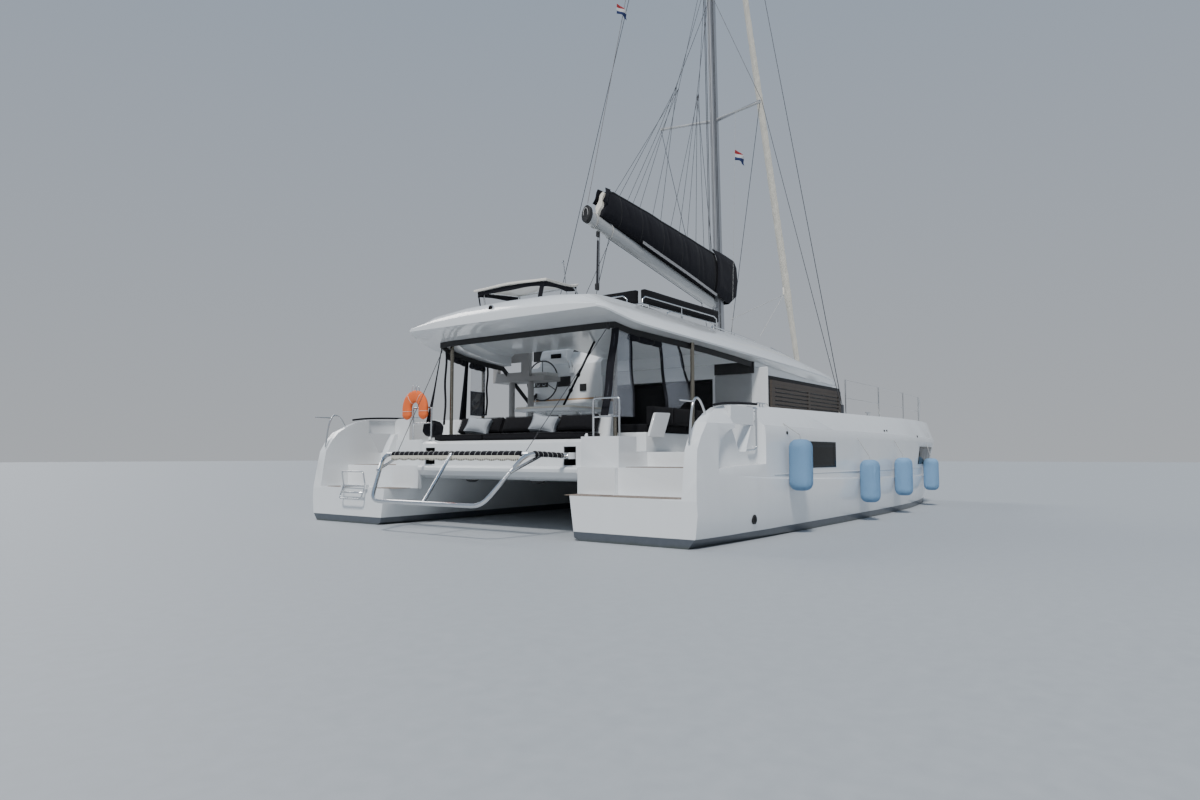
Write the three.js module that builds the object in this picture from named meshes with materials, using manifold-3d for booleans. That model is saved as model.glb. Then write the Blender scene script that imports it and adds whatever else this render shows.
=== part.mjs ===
// A sailing catamaran of the family cruising kind, built up from its own mouldings and fittings.
// Millimetres. +X points to the bows, +Y to port, +Z up. The origin lies on the waterline,
// amidships, on the centreline. A distance called "out" is measured from the centreline outwards.

import * as THREE from "three";
import { mergeVertices } from "three/addons/utils/BufferGeometryUtils.js";
import Module from "manifold-3d";

const wasm = await Module();
wasm.setup();

// Driving dimensions of the boat
const STERN = -6400;
const HULL_AXIS = 2790;
const HULL_INNER = 1640;
const PLATFORM_Z = 575;
const STEP_Z = 940;
const SOLE_Z = 1150;
const DECK_Z = 1800;
const TUNNEL_Z = 830;
const DRAUGHT = 1250;
const GAP = 0.3;
const RUN = 6;

// Driving stations along the boat
const BEAM_AFT_X = -5850;
const LANDING_X = -5150;
const BULKHEAD_X = -1800;
const HOUSE_FRONT_X = 2300;
const FOREDECK_X = 3900;
const CROSSBEAM_X = 5900;
const MAST_X = 1364;

const SIDES = [
  { side: "starboard", s: -1 },
  { side: "port", s: 1 },
];

const boat = new THREE.Group();

// Finishes: colour, roughness and metalness of each
const FINISHES = {
  gelcoat: { color: 0xe6ebee, roughness: 0.22, metalness: 0 },
  antifouling: { color: 0x3b4652, roughness: 0.7, metalness: 0 },
  steel: { color: 0xc8cbce, roughness: 0.2, metalness: 1 },
  alloy: { color: 0xa9adb1, roughness: 0.4, metalness: 0.8 },
  darkglass: { color: 0x1a1c1e, roughness: 0.08, metalness: 0 },
  black: { color: 0x17181a, roughness: 0.8, metalness: 0 },
  canvas: { color: 0x1b1c20, roughness: 0.9, metalness: 0 },
  cream: { color: 0xe4dfd2, roughness: 0.7, metalness: 0 },
  grey: { color: 0x77787a, roughness: 0.5, metalness: 0 },
  fender: { color: 0x8fbbe0, roughness: 0.75, metalness: 0 },
  buoy: { color: 0xf04a1c, roughness: 0.6, metalness: 0 },
  teak: { color: 0x6f5a4a, roughness: 0.75, metalness: 0 },
  net: { color: 0xd5d7d8, roughness: 0.8, metalness: 0 },
  iron: { color: 0x55585a, roughness: 0.6, metalness: 0.6 },
  bronze: { color: 0x9c7a3c, roughness: 0.35, metalness: 1 },
};

function add(name, geometry, finish) {
  const mesh = new THREE.Mesh(geometry, new THREE.MeshStandardMaterial(FINISHES[finish]));
  mesh.name = name;
  boat.add(mesh);
}

// Solids, joins and cuts

function solid(geometry) {
  const bare = geometry.clone();
  bare.deleteAttribute("normal");
  bare.deleteAttribute("uv");
  const merged = mergeVertices(bare, 0.01);
  const triVerts = merged.index
    ? new Uint32Array(merged.index.array)
    : Uint32Array.from({ length: merged.attributes.position.count }, (_, i) => i);
  const vertProperties = new Float32Array(merged.attributes.position.array);
  return new wasm.Manifold(new wasm.Mesh({ numProp: 3, vertProperties, triVerts }));
}

function shell(manifold) {
  const mesh = manifold.getMesh();
  const geometry = new THREE.BufferGeometry();
  geometry.setAttribute("position", new THREE.BufferAttribute(new Float32Array(mesh.vertProperties), 3));
  geometry.setIndex(new THREE.BufferAttribute(new Uint32Array(mesh.triVerts), 1));
  return geometry;
}

const join = (first, ...rest) => rest.reduce((whole, piece) => whole.add(piece), first);
const cut = (first, ...rest) => rest.reduce((whole, piece) => whole.subtract(piece), first);

function mirrored(geometry) {
  const other = geometry.clone();
  other.scale(1, -1, 1);
  const faces = other.index ? other.index.array : null;
  if (faces) {
    for (let i = 0; i < faces.length; i += 3) [faces[i], faces[i + 1]] = [faces[i + 1], faces[i]];
  }
  return other;
}

// A box from its low and high limits on each axis
function box([x0, x1], [y0, y1], [z0, z1]) {
  const geometry = new THREE.BoxGeometry(x1 - x0, y1 - y0, z1 - z0);
  geometry.translate((x0 + x1) / 2, (y0 + y1) / 2, (z0 + z1) / 2);
  return solid(geometry);
}

// A box on one side of the boat, its width given as distances out from the centreline
function sideBox(s, xs, [out0, out1], zs) {
  return box(xs, s < 0 ? [-out1, -out0] : [out0, out1], zs);
}

const at = (x, y, z) => new THREE.Vector3(x, y, z);

// A round bar from one point to another, its radius able to change along it
function bar(from, to, radius, sides = 8, endRadius = radius) {
  const way = to.clone().sub(from);
  const geometry = new THREE.CylinderGeometry(endRadius, radius, way.length(), sides);
  const turn = new THREE.Quaternion().setFromUnitVectors(at(0, 1, 0), way.clone().normalize());
  geometry.applyQuaternion(turn);
  const middle = from.clone().add(to).multiplyScalar(0.5);
  geometry.translate(middle.x, middle.y, middle.z);
  return solid(geometry);
}

// A run through points, so that a swept section stands square to the run at each of them
class Run extends THREE.Curve {
  constructor(points) {
    super();
    this.points = points;
  }

  getPoint(t) {
    const place = t * (this.points.length - 1);
    const i = Math.min(Math.floor(place), this.points.length - 2);
    return this.points[i].clone().lerp(this.points[i + 1], place - i);
  }

  getPointAt(u) {
    return this.getPoint(u);
  }

  getTangentAt(u) {
    const i = Math.round(u * (this.points.length - 1));
    const here = this.points[i];
    const back = i > 0 ? here.clone().sub(this.points[i - 1]).normalize() : at(0, 0, 0);
    const ahead = i + 1 < this.points.length ? this.points[i + 1].clone().sub(here).normalize() : at(0, 0, 0);
    return back.add(ahead).normalize();
  }
}

// Points with each corner between them eased into a short arc, finer where its reach is long
const LONG_REACH = 100;

function eased(points, reach) {
  const run = [points[0]];
  const steps = reach > LONG_REACH ? 4 : 2;
  for (let i = 1; i + 1 < points.length; i += 1) {
    const [before, corner, after] = [points[i - 1], points[i], points[i + 1]];
    const near = (other) => corner.clone().lerp(other, Math.min(reach / corner.distanceTo(other), 0.45));
    const [enter, leave] = [near(before), near(after)];
    for (let k = 0; k <= steps; k += 1) {
      const t = k / steps;
      run.push(enter.clone().lerp(corner, t).lerp(corner.clone().lerp(leave, t), t));
    }
  }
  run.push(points.at(-1));
  return run;
}

// A bent tube through points, its bends eased
function bentTube(points, radius, sides = 8, reach = 3 * radius) {
  const section = new THREE.Shape();
  for (let i = 0; i < sides; i += 1) {
    const a = (2 * Math.PI * i) / sides;
    const corner = [radius * Math.cos(a), radius * Math.sin(a)];
    if (i === 0) section.moveTo(...corner);
    else section.lineTo(...corner);
  }
  const run = eased(points, reach);
  const options = { steps: run.length - 1, bevelEnabled: false, extrudePath: new Run(run) };
  return solid(new THREE.ExtrudeGeometry(section, options));
}

// A plate drawn in the fore-and-aft plane as [x, z] points, with its width given on Y
function sidePlate(points, [y0, y1]) {
  const outline = new THREE.Shape(points.map(([x, z]) => new THREE.Vector2(x, z)));
  const geometry = new THREE.ExtrudeGeometry(outline, { depth: y1 - y0, bevelEnabled: false });
  geometry.rotateX(Math.PI / 2);
  geometry.translate(0, y1, 0);
  return solid(geometry);
}

// A plate drawn in plan as [x, y] points, with its height given on Z
function planPlate(points, [z0, z1]) {
  const outline = new THREE.Shape(points.map(([x, y]) => new THREE.Vector2(x, y)));
  const geometry = new THREE.ExtrudeGeometry(outline, { depth: z1 - z0, bevelEnabled: false });
  geometry.translate(0, 0, z0);
  return solid(geometry);
}

// A body lofted through rings of equal point count, its two ends closed flat. The rings lie across
// the boat when they run along x, or level when they run up z, and may be given either way round.
function loft(given, along = "x") {
  const flat = (ring) => ring.map((p) => (along === "x" ? new THREE.Vector2(p.y, p.z) : new THREE.Vector2(p.x, p.y)));
  const turned = THREE.ShapeUtils.area(flat(given[0])) < 0 ? given.map((ring) => [...ring].reverse()) : given;
  const rings = turned[0][0][along] > turned.at(-1)[0][along] ? [...turned].reverse() : turned;
  const count = rings[0].length;
  const faces = [];
  for (let r = 0; r + 1 < rings.length; r += 1) {
    for (let i = 0; i < count; i += 1) {
      const a = r * count + i;
      const b = r * count + ((i + 1) % count);
      faces.push(a, b, b + count, a, b + count, a + count);
    }
  }
  const last = (rings.length - 1) * count;
  for (const [i, j, k] of THREE.ShapeUtils.triangulateShape(flat(rings[0]), [])) faces.push(i, k, j);
  for (const [i, j, k] of THREE.ShapeUtils.triangulateShape(flat(rings.at(-1)), [])) {
    faces.push(last + i, last + j, last + k);
  }
  const geometry = new THREE.BufferGeometry();
  const positions = rings.flat().flatMap((p) => [p.x, p.y, p.z]);
  geometry.setAttribute("position", new THREE.Float32BufferAttribute(positions, 3));
  geometry.setIndex(faces);
  return solid(geometry);
}

// A value read from a table column at any station, straight between the rows
function reading(table, column, x) {
  const last = table.length - 1;
  let i = 0;
  while (i < last - 1 && x > table[i + 1][0]) i += 1;
  const t = (x - table[i][0]) / (table[i + 1][0] - table[i][0]);
  return table[i][column] + Math.min(Math.max(t, 0), 1) * (table[i + 1][column] - table[i][column]);
}

// The same, eased with a cubic so that long lines run fair through the rows
function fair(table, column, x) {
  const last = table.length - 1;
  let i = 0;
  while (i < last - 1 && x > table[i + 1][0]) i += 1;
  const slope = (k) => {
    const low = Math.max(k - 1, 0);
    const high = Math.min(k + 1, last);
    return (table[high][column] - table[low][column]) / (table[high][0] - table[low][0]);
  };
  const width = table[i + 1][0] - table[i][0];
  const t = Math.min(Math.max((x - table[i][0]) / width, 0), 1);
  const h = [2 * t ** 3 - 3 * t ** 2 + 1, t ** 3 - 2 * t ** 2 + t, 3 * t ** 2 - 2 * t ** 3, t ** 3 - t ** 2];
  return h[0] * table[i][column] + h[1] * width * slope(i)
    + h[2] * table[i + 1][column] + h[3] * width * slope(i + 1);
}

// Hulls
// Columns: station x, inner side out, inner waterline out, keel line z, outer waterline out,
// chine out, chine z, ledge z, ledge width, side out over the ledge, side out at the crease,
// crease z, sheer out, sheer z
const HULL_LINES = [
  [-6400, 1840, 1960, -70, 3640, 3790, 405, 835, 0, 3755, 3722, 1370, 3600, 1740],
  [-5850, 1640, 1960, -150, 3655, 3810, 365, 832, 0, 3785, 3770, 1370, 3610, 1765],
  [-5200, 1640, 1970, -250, 3655, 3825, 325, 823, 3, 3812, 3806, 1370, 3615, 1780],
  [-4600, 1640, 1990, -330, 3655, 3832, 286, 800, 26, 3830, 3828, 1370, 3615, 1790],
  [-2500, 1640, 2060, -520, 3640, 3810, 226, 745, 28, 3834, 3832, 1370, 3615, 1820],
  [0, 1640, 2120, -600, 3610, 3775, 160, 705, 28, 3826, 3832, 1375, 3610, 1850],
  [2500, 1640, 2220, -590, 3510, 3665, 98, 682, 28, 3720, 3790, 1385, 3580, 1880],
  [3900, 1640, 2330, -550, 3375, 3490, 60, 669, 26, 3585, 3705, 1390, 3510, 1890],
  [5000, 1950, 2480, -480, 3210, 3300, 30, 660, 22, 3415, 3580, 1395, 3410, 1885],
  [5800, 2300, 2610, -400, 3045, 3110, 10, 655, 16, 3200, 3390, 1395, 3260, 1870],
  [6200, 2520, 2700, -330, 2925, 2960, 0, 652, 10, 3020, 3160, 1390, 3090, 1855],
  [6400, 2700, 2775, -260, 2845, 2862, -10, 650, 4, 2880, 2930, 1370, 2920, 1800],
];
const HULL_STATIONS = [-6400, -6125, -5850, -5500, -5200, -4900, -4600, -3800, -3000, -2000, -1000, 0, 1000,
  2000, 2900, 3600, 3900, 4300, 4700, 5000, 5400, 5700, 5950, 6150, 6300, 6400];

// Along the topside a seam runs level, with a bevel over it up to the sheer
const SEAM = { z: 1500, under: 12, over: 34 };

function hullRing(x) {
  const line = (column) => fair(HULL_LINES, column, x);
  const inner = reading(HULL_LINES, 1, x);
  const [keel, water, chine, chineZ] = [line(3), line(4), line(5), line(6)];
  const ledge = reading(HULL_LINES, 8, x);
  const [ledgeZ, foot, side, sheer] = [line(7), line(9), line(10), line(12)];
  const middle = (line(2) + water) / 2;
  const half = (water - line(2)) / 2;
  const waterZ = 0.25 * keel;
  const bulge = 0.65;
  const profile = [
    [inner, line(13)],
    [inner, 850],
    [middle - half, 40],
    [middle - 0.77 * half, 0.62 * keel],
    [middle - 0.13 * half, keel],
    [middle + 0.13 * half, keel],
    [middle + 0.77 * half, 0.68 * keel],
    [water, waterZ],
    [chine - 0.2 * (chine - water), chineZ + bulge * (waterZ - chineZ)],
    [chine, chineZ],
    [foot + ledge + 2, ledgeZ - 8],
    [foot, ledgeZ + 10],
    [side, line(11)],
    [Math.max(side - SEAM.under, sheer + 4), SEAM.z],
    [Math.max(side - SEAM.over, sheer + 2), SEAM.z + 10],
    [sheer, line(13) - 12],
    [sheer - 60, line(13)],
  ];
  return profile.map(([out, z]) => at(x, -out, z));
}

// The after edge of the transom wing in the fore-and-aft plane, from the platform up
const WING_EDGE = [[-6400, 560], [-6350, 940], [-6309, 1176], [-6210, 1340], [-6064, 1506], [-5870, 1620],
  [-5669, 1702], [-5400, 1748], [-5123, 1768]];
const WING_INNER = 3570;
const BLOCK_OUT = 2280;
const BLOCK_X = -5420;
const TOE_X = -5925;
const BLOCK_Z = 1360;
const POST_BLOCK_OUT = 1860;
const SIDE_DECK_OUT = 2950;
const COAMING_OUT = 3480;
const GATE = { aft: -5420, fore: -4760, floorAft: -5190, floorFore: -5000, sill: 1500 };
const GATE_FACE_OUT = 3722;
// The hollow in the side round each gate, as [x, z] from its shelf up its curved after edge, and in plan
const RECESS_EDGE = [[-4600, 990], [-5420, 965], [-5860, 935], [-5850, 1100], [-5790, 1260], [-5680, 1365],
  [-5560, 1425], [-5420, 1450], [-5420, 2100], [-4600, 2100]];
const RECESS_PLAN = [[-5900, 3722], [-4720, 3722], [-4655, 3742], [-4615, 3790], [-4600, 3850], [-4600, 4000],
  [-5900, 4000]];
const GATE_THICK = 45;
const BAY = { x: [-5050, -4150], out: [2380, 3200], floor: 160 };
const LID = { x: [-5080, -4120], out: [2350, 3230], thick: 40, clear: 6 };
const LEG_WELL = { x: [-4760, -4500], out: [HULL_AXIS - 90, HULL_AXIS + 90] };
const RUDDER_X = -5560;
const STOCK_R = 35;
const STOCK_TOP = 420;
const SHAFT_CLEAR = 1;
// Hull windows, in pairs of x limits and z limits
const HULL_WINDOWS = [
  { x: [-3310, -2010], z: [916, 1313] },
  { x: [3300, 4900], z: [916, 1290] },
];

const RECESS_DEPTH = 30;

function windowRecess({ x, z }) {
  const [aft, fore] = x.map((end) => fair(HULL_LINES, 10, end) - RECESS_DEPTH);
  return planPlate([[x[0], -aft], [x[0], -4000], [x[1], -4000], [x[1], -fore]], z);
}

function hullSolid() {
  const whole = loft(HULL_STATIONS.map((x) => hullRing(x)));
  const out = (limits) => [-limits[1], -limits[0]];
  const high = 2100;
  const wingWaste = [[STERN - 60, PLATFORM_Z - 15], ...WING_EDGE.map(([x, z]) => [x, z]),
    [-5123, high], [STERN - 60, high]];
  const gateWaste = [[GATE.floorAft, SOLE_Z], [GATE.floorFore, SOLE_Z], [-4830, GATE.sill],
    [GATE.fore, GATE.sill], [GATE.fore, high], [GATE.aft, high], [GATE.aft, GATE.sill]];
  const cuts = [
    box([STERN - 50, BEAM_AFT_X], out([1500, WING_INNER]), [PLATFORM_Z, high]),
    box([BEAM_AFT_X - 1, LANDING_X], out([BLOCK_OUT, WING_INNER]), [STEP_Z, high]),
    box([BEAM_AFT_X - 1, BLOCK_X], out([1500, BLOCK_OUT + 1]), [BLOCK_Z, high]),
    box([BLOCK_X - 1, BULKHEAD_X + 150], out([POST_BLOCK_OUT, SIDE_DECK_OUT]), [SOLE_Z, high]),
    box([BLOCK_X - 1, -5020], out([1500, POST_BLOCK_OUT + 1]), [BLOCK_Z, high]),
    box([-5021, BULKHEAD_X + 150], out([1500, POST_BLOCK_OUT + 1]), [SOLE_Z, high]),
    box([LANDING_X - 1, -4100], out([BLOCK_OUT - 1, 3250]), [SOLE_Z, high]),
    box([LANDING_X - 1, GATE.fore], out([3200, WING_INNER]), [SOLE_Z, high]),
    box([-4101, -3700], out([SIDE_DECK_OUT - 1, COAMING_OUT]), [1450, high]),
    box([-3701, 2900], out([1500, COAMING_OUT]), [DECK_Z, high]),
    sidePlate(RECESS_EDGE, out([GATE_FACE_OUT, 4000]))
      .intersect(planPlate(RECESS_PLAN.map(([x, y]) => [x, -y]), [900, 2200])),
    box(BAY.x, out(BAY.out), [BAY.floor, SOLE_Z + 10]),
    box(LID.x, out(LID.out), [SOLE_Z - LID.thick, SOLE_Z + 10]),
    box(LEG_WELL.x, out(LEG_WELL.out), [-700, BAY.floor + 10]),
    sidePlate(wingWaste, out([3300, 4000])),
    sidePlate(gateWaste, out([3300, 4000])),
    bar(at(RUDDER_X, -HULL_AXIS, -700), at(RUDDER_X, -HULL_AXIS, STOCK_TOP + 20), STOCK_R + SHAFT_CLEAR, 16),
    ...HULL_WINDOWS.map(windowRecess),
  ];
  const toe = box([TOE_X, BEAM_AFT_X + 1], out([HULL_INNER, BLOCK_OUT - 10]), [PLATFORM_Z - 5, STEP_Z]);
  return join(cut(whole, ...cuts), toe);
}

// Swim ladder of the port platform, hinged between two lugs on its after edge
const LADDER = { y: [2340, 2900], hinge: at(-6415.3, 0, 605), lug: 30, end: 20 };

function ladderLugs() {
  const { y, hinge, lug, end } = LADDER;
  const inner = [y[0] - end - GAP - lug, y[0] - end - GAP];
  const outer = [y[1] + end + GAP, y[1] + end + GAP + lug];
  return [inner, outer].map((ys) => box([hinge.x - 25, hinge.x + 35], ys, [PLATFORM_Z - 20, hinge.z + 25]));
}

const starboardHull = shell(hullSolid());
const portHull = shell(join(solid(mirrored(starboardHull)), ...ladderLugs()));
add("hull_starboard", starboardHull, "gelcoat");
add("hull_port", portHull, "gelcoat");

// A piece trimmed where it meets a neighbour, with the usual gap left towards [x, y, z]
const trimmed = (piece, neighbour, way) => piece.subtract(neighbour.translate(way.map((part) => part * 1.4 * GAP)));

// A piece that spans the two hulls, trimmed to fit between them
function betweenHulls(piece) {
  return trimmed(trimmed(piece, solid(starboardHull), [0, 1, 0]), solid(portHull), [0, -1, 0]);
}

// Stub keels
const KEEL = { aft: -900, fore: 1700, footAft: -650, footFore: 1250, top: 110, foot: 80 };

function keelSolid() {
  const topZ = -300;
  const ring = (z, aft, fore, half) => [[aft, 0], [aft + 500, -half], [fore - 500, -half], [fore, 0],
    [fore - 500, half], [aft + 500, half]].map(([x, y]) => at(x, y - HULL_AXIS, z));
  const rings = [ring(-DRAUGHT, KEEL.footAft, KEEL.footFore, KEEL.foot), ring(topZ, KEEL.aft, KEEL.fore, KEEL.top)];
  return loft(rings, "z");
}

const starboardKeel = shell(trimmed(keelSolid(), solid(starboardHull), [0, 0, -1]));
add("keel_starboard", starboardKeel, "antifouling");
add("keel_port", mirrored(starboardKeel), "antifouling");

// Bridgedeck with the after crossbeam, its two davit pockets and the cockpit sole
const POCKET = { out: [1330, 1550], z: [960, 1225], deep: 320 };
const DAVIT = { hinge: at(-5905, 0, 1095), out: 1440, r: 30, lug: 55, lugThick: 28, bend: 170 };
const SEAT_BASE = { x: [-5850, -5020], z: 1330 };
const SEAT_RISE_Z = 1700;

function bridgedeckSolid() {
  const half = HULL_INNER - GAP;
  const profile = [[BEAM_AFT_X, STEP_Z + 10], [TOE_X - 5, STEP_Z - 5], [TOE_X - 25, STEP_Z - 30],
    [TOE_X - 18, STEP_Z - 75], [TOE_X + 35, STEP_Z - 150], [TOE_X + 180, TUNNEL_Z - 95], [3300, TUNNEL_Z - 120],
    [FOREDECK_X, 1250], [FOREDECK_X, DECK_Z + 40], [HOUSE_FRONT_X + 20, DECK_Z + 60],
    [HOUSE_FRONT_X + 20, DECK_Z], [HOUSE_FRONT_X - 200, DECK_Z], [HOUSE_FRONT_X - 200, SOLE_Z],
    [-5020, SOLE_Z], [-5020, SEAT_RISE_Z], [-5120, SEAT_RISE_Z], [-5170, SEAT_BASE.z],
    [BEAM_AFT_X + 60, SEAT_BASE.z], [BEAM_AFT_X, SEAT_BASE.z - 40]];
  const body = sidePlate(profile, [-half, half]);
  const pockets = SIDES.map(({ s }) => sideBox(s, [BEAM_AFT_X - 5, BEAM_AFT_X + POCKET.deep], POCKET.out, POCKET.z));
  const lugs = SIDES.flatMap(({ s }) => [-1, 1].map((edge) => {
    const middle = DAVIT.out + edge * (DAVIT.lug + DAVIT.lugThick / 2 + GAP);
    return sideBox(s, [DAVIT.hinge.x - 45, BEAM_AFT_X + POCKET.deep + 10],
      [middle - DAVIT.lugThick / 2, middle + DAVIT.lugThick / 2], [DAVIT.hinge.z - 45, DAVIT.hinge.z + 45]);
  }));
  return join(cut(body, ...pockets), ...lugs);
}
add("bridgedeck", shell(bridgedeckSolid()), "gelcoat");

// Saloon house: coamings, pillars and header as one moulding, windows and doorway cut through
const HOUSE = { half: 2350, wall: 60, base: DECK_Z + 0.3, top: 2600 };
const DOORWAY = { y: [-1500, 700], z: [SOLE_Z, 2480] };
// Flares at the after corners of the house
const FAIRING = { out: 2590, long: 330, top: 2640 };

// The height of the roof's underside edge, falling towards the bows
const ROOF_EDGE = [[-5310, 3035], [-5000, 2945], [-4000, 2860], [-2500, 2775], [-1700, 2700], [1650, 2560],
  [2700, 2500]];
const underRoof = (x) => reading(ROOF_EDGE, 1, x);

function houseSolid() {
  const { half, wall, base } = HOUSE;
  const top = (x) => underRoof(x) + 40;
  const outer = [[BULKHEAD_X, base], [HOUSE_FRONT_X, base], [HOUSE_FRONT_X - 60, top(HOUSE_FRONT_X)],
    [BULKHEAD_X, top(BULKHEAD_X)]];
  const fairings = SIDES.map(({ s }) => planPlate([[BULKHEAD_X, s * (half - 5)], [BULKHEAD_X, s * FAIRING.out],
    [BULKHEAD_X + FAIRING.long, s * (half - 5)]], [base, FAIRING.top]));
  const body = join(sidePlate(outer, [-half, half]), ...fairings);
  const inside = sidePlate([[BULKHEAD_X + wall, base - 5], [HOUSE_FRONT_X - wall, base - 5],
    [HOUSE_FRONT_X - wall - 60, 3200], [BULKHEAD_X + wall, 3200]], [-half + wall, half - wall]);
  const sill = base + 190;
  const head = 2500;
  const sideWindows = [[BULKHEAD_X + 420, BULKHEAD_X + 1750], [BULKHEAD_X + 1900, HOUSE_FRONT_X - 300]];
  const frontWindows = [[-2150, -800], [-660, 660], [800, 2150]];
  return cut(
    body,
    inside,
    box([BULKHEAD_X - 10, BULKHEAD_X + wall + 10], DOORWAY.y, [base - 10, DOORWAY.z[1]]),
    ...sideWindows.map((xs) => box(xs, [-half - 10, half + 10], [sill, head])),
    ...frontWindows.map((ys) => box([HOUSE_FRONT_X - 250, HOUSE_FRONT_X + 20], ys, [sill, head])),
  );
}
add("saloon_house", shell(houseSolid()), "gelcoat");

// Dark window band wrapped round the sides and front of the house
function glassSolid() {
  const { half, base } = HOUSE;
  const thick = 8;
  const zs = [base + 150, 2540];
  const ring = (grow) => [[BULKHEAD_X + 350, -half - grow], [HOUSE_FRONT_X + grow, -half - grow],
    [HOUSE_FRONT_X + grow, half + grow], [BULKHEAD_X + 350, half + grow]];
  return cut(
    planPlate(ring(thick + 1), zs),
    box([BULKHEAD_X - 500, HOUSE_FRONT_X + GAP], [-half - GAP, half + GAP], [zs[0] - 10, zs[1] + 10]),
  );
}
add("saloon_glass", shell(glassSolid()), "darkglass");

// Sliding doors of the saloon, framed glass, one leaf fixed and one that slides behind it
const LEAF = { width: 1080, thick: 34, frame: 55 };

function leafSolid(x, y0) {
  const zs = [SOLE_Z + GAP, DOORWAY.z[1] - 20];
  const frame = box([x, x + LEAF.thick], [y0, y0 + LEAF.width], zs);
  const middle = [y0 + LEAF.frame, y0 + LEAF.width - LEAF.frame];
  const recess = (xs) => box(xs, middle, [zs[0] + 90, zs[1] - 60]);
  return cut(frame, recess([x - 1, x + 12]), recess([x + 22, x + LEAF.thick + 1]));
}
add("door_fixed", shell(leafSolid(BULKHEAD_X + 130, DOORWAY.y[1] - LEAF.width)), "darkglass");
add("door_sliding", shell(leafSolid(BULKHEAD_X + 85, DOORWAY.y[0] + 20)), "darkglass");

// Roof over cockpit and saloon
// Columns: station x, centre top z, shoulder out, shoulder z, edge out, edge z, underside out, underside z
const ROOF_LINES = [
  [-5890, 3280, 1400, 3250, 1930, 3172, 1890, 3150],
  [-5800, 3370, 1480, 3320, 2010, 3150, 1900, 3125],
  [-5600, 3490, 1580, 3410, 2090, 3085, 1880, 3090],
  [-5310, 3550, 1620, 3430, 2170, 3010, 1850, 3030],
  [-5000, 3580, 1650, 3420, 2260, 2960, 1940, 2945],
  [-4000, 3590, 1720, 3385, 2440, 2875, 2220, 2860],
  [-2500, 3530, 1820, 3310, 2470, 2825, 2330, 2775],
  [-1000, 3430, 1830, 3260, 2470, 2785, 2370, 2690],
  [500, 3310, 1830, 3170, 2450, 2750, 2370, 2610],
  [1650, 3180, 1760, 3040, 2400, 2700, 2330, 2560],
  [2400, 3040, 1560, 2920, 2250, 2640, 2180, 2530],
  [2750, 2840, 1350, 2770, 2000, 2600, 1960, 2550],
];
const ROOF_STATIONS = [-5890, -5850, -5800, -5700, -5600, -5450, -5310, -5150, -5000, -4500, -4000, -3250, -2500,
  -1750, -1000, -250, 500, 1100, 1650, 2050, 2400, 2600, 2750];
const HATCHWAY = { x: [-3300, -1870], y: [620, 2800] };
// The hollow under the roof. Columns: station x, half width, height over the underside
const ROOF_HOLLOW = [
  [-5150, 1560, 150],
  [-4900, 1660, 230],
  [-3900, 2000, 230],
  [BULKHEAD_X - 60, 2150, 230],
];

function roofRing(x) {
  const line = (column) => fair(ROOF_LINES, column, x);
  const lip = Math.min(90, 0.3 * (line(3) - line(5)));
  const half = [
    [line(6), line(7)],
    [line(4), line(5) - 25],
    [line(4) + 10, line(5)],
    [line(4) - 0.7 * lip, line(5) + lip],
    [line(2), line(3)],
    [line(2) * 0.55, line(1) - 0.18 * (line(1) - line(3))],
  ];
  const port = half.map(([out, z]) => at(x, out, z));
  const starboard = half.map(([out, z]) => at(x, -out, z)).reverse();
  return [...port, at(x, 0, line(1)), ...starboard];
}

function roofSolid() {
  const whole = loft(ROOF_STATIONS.map(roofRing));
  const hollow = loft(ROOF_HOLLOW.map(([x, half, rise]) => {
    const top = underRoof(x) + rise;
    return [[-half, 2400], [half, 2400], [half, top - 60], [half - 80, top], [80 - half, top], [-half, top - 60]]
      .map(([y, z]) => at(x, y, z));
  }));
  const houseSpace = sidePlate([[BULKHEAD_X - 1, 2400], [HOUSE_FRONT_X + 30, 2400],
    [HOUSE_FRONT_X + 30, underRoof(HOUSE_FRONT_X) + 40 + GAP], [BULKHEAD_X - 1, underRoof(BULKHEAD_X) + 40 + GAP]],
  [-HOUSE.half - 20, HOUSE.half + 20]);
  return cut(whole, hollow, houseSpace, box(HATCHWAY.x, HATCHWAY.y, [2300, 3900]));
}
add("roof", shell(roofSolid()), "gelcoat");

// Roof posts: two at the after corners, two further forward beside the cockpit seats
// Columns: name, x, out, foot z, a height inside the roof
const POSTS = [
  ["roof_post_aft", -5140, 1720, BLOCK_Z, 3100],
  ["roof_post_side", -3840, 2260, SOLE_Z, 2960],
];
const POST_R = 32;
for (const { side, s } of SIDES) {
  for (const [name, x, out, foot, top] of POSTS) {
    const post = bar(at(x, s * out, foot + GAP), at(x, s * out, top), POST_R, 12);
    add(`${name}_${side}`, shell(trimmed(post, roofSolid(), [0, 0, -1])), "steel");
  }
}

// Helm station on the port side: console against the bulkhead, wheel, seat on two posts
const HELM_Y = 2030;
const CONSOLE = { x: [-2280, BULKHEAD_X - 8], y: [620, 2450], foot: 150, top: 3160 };
const POD = { x: [-2330, -2050], y: [1480, 2160], z: [2990, 3240] };
const WHEEL = { x: -2400, z: 2600, r: 400, rim: 16, hub: 55 };

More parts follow.
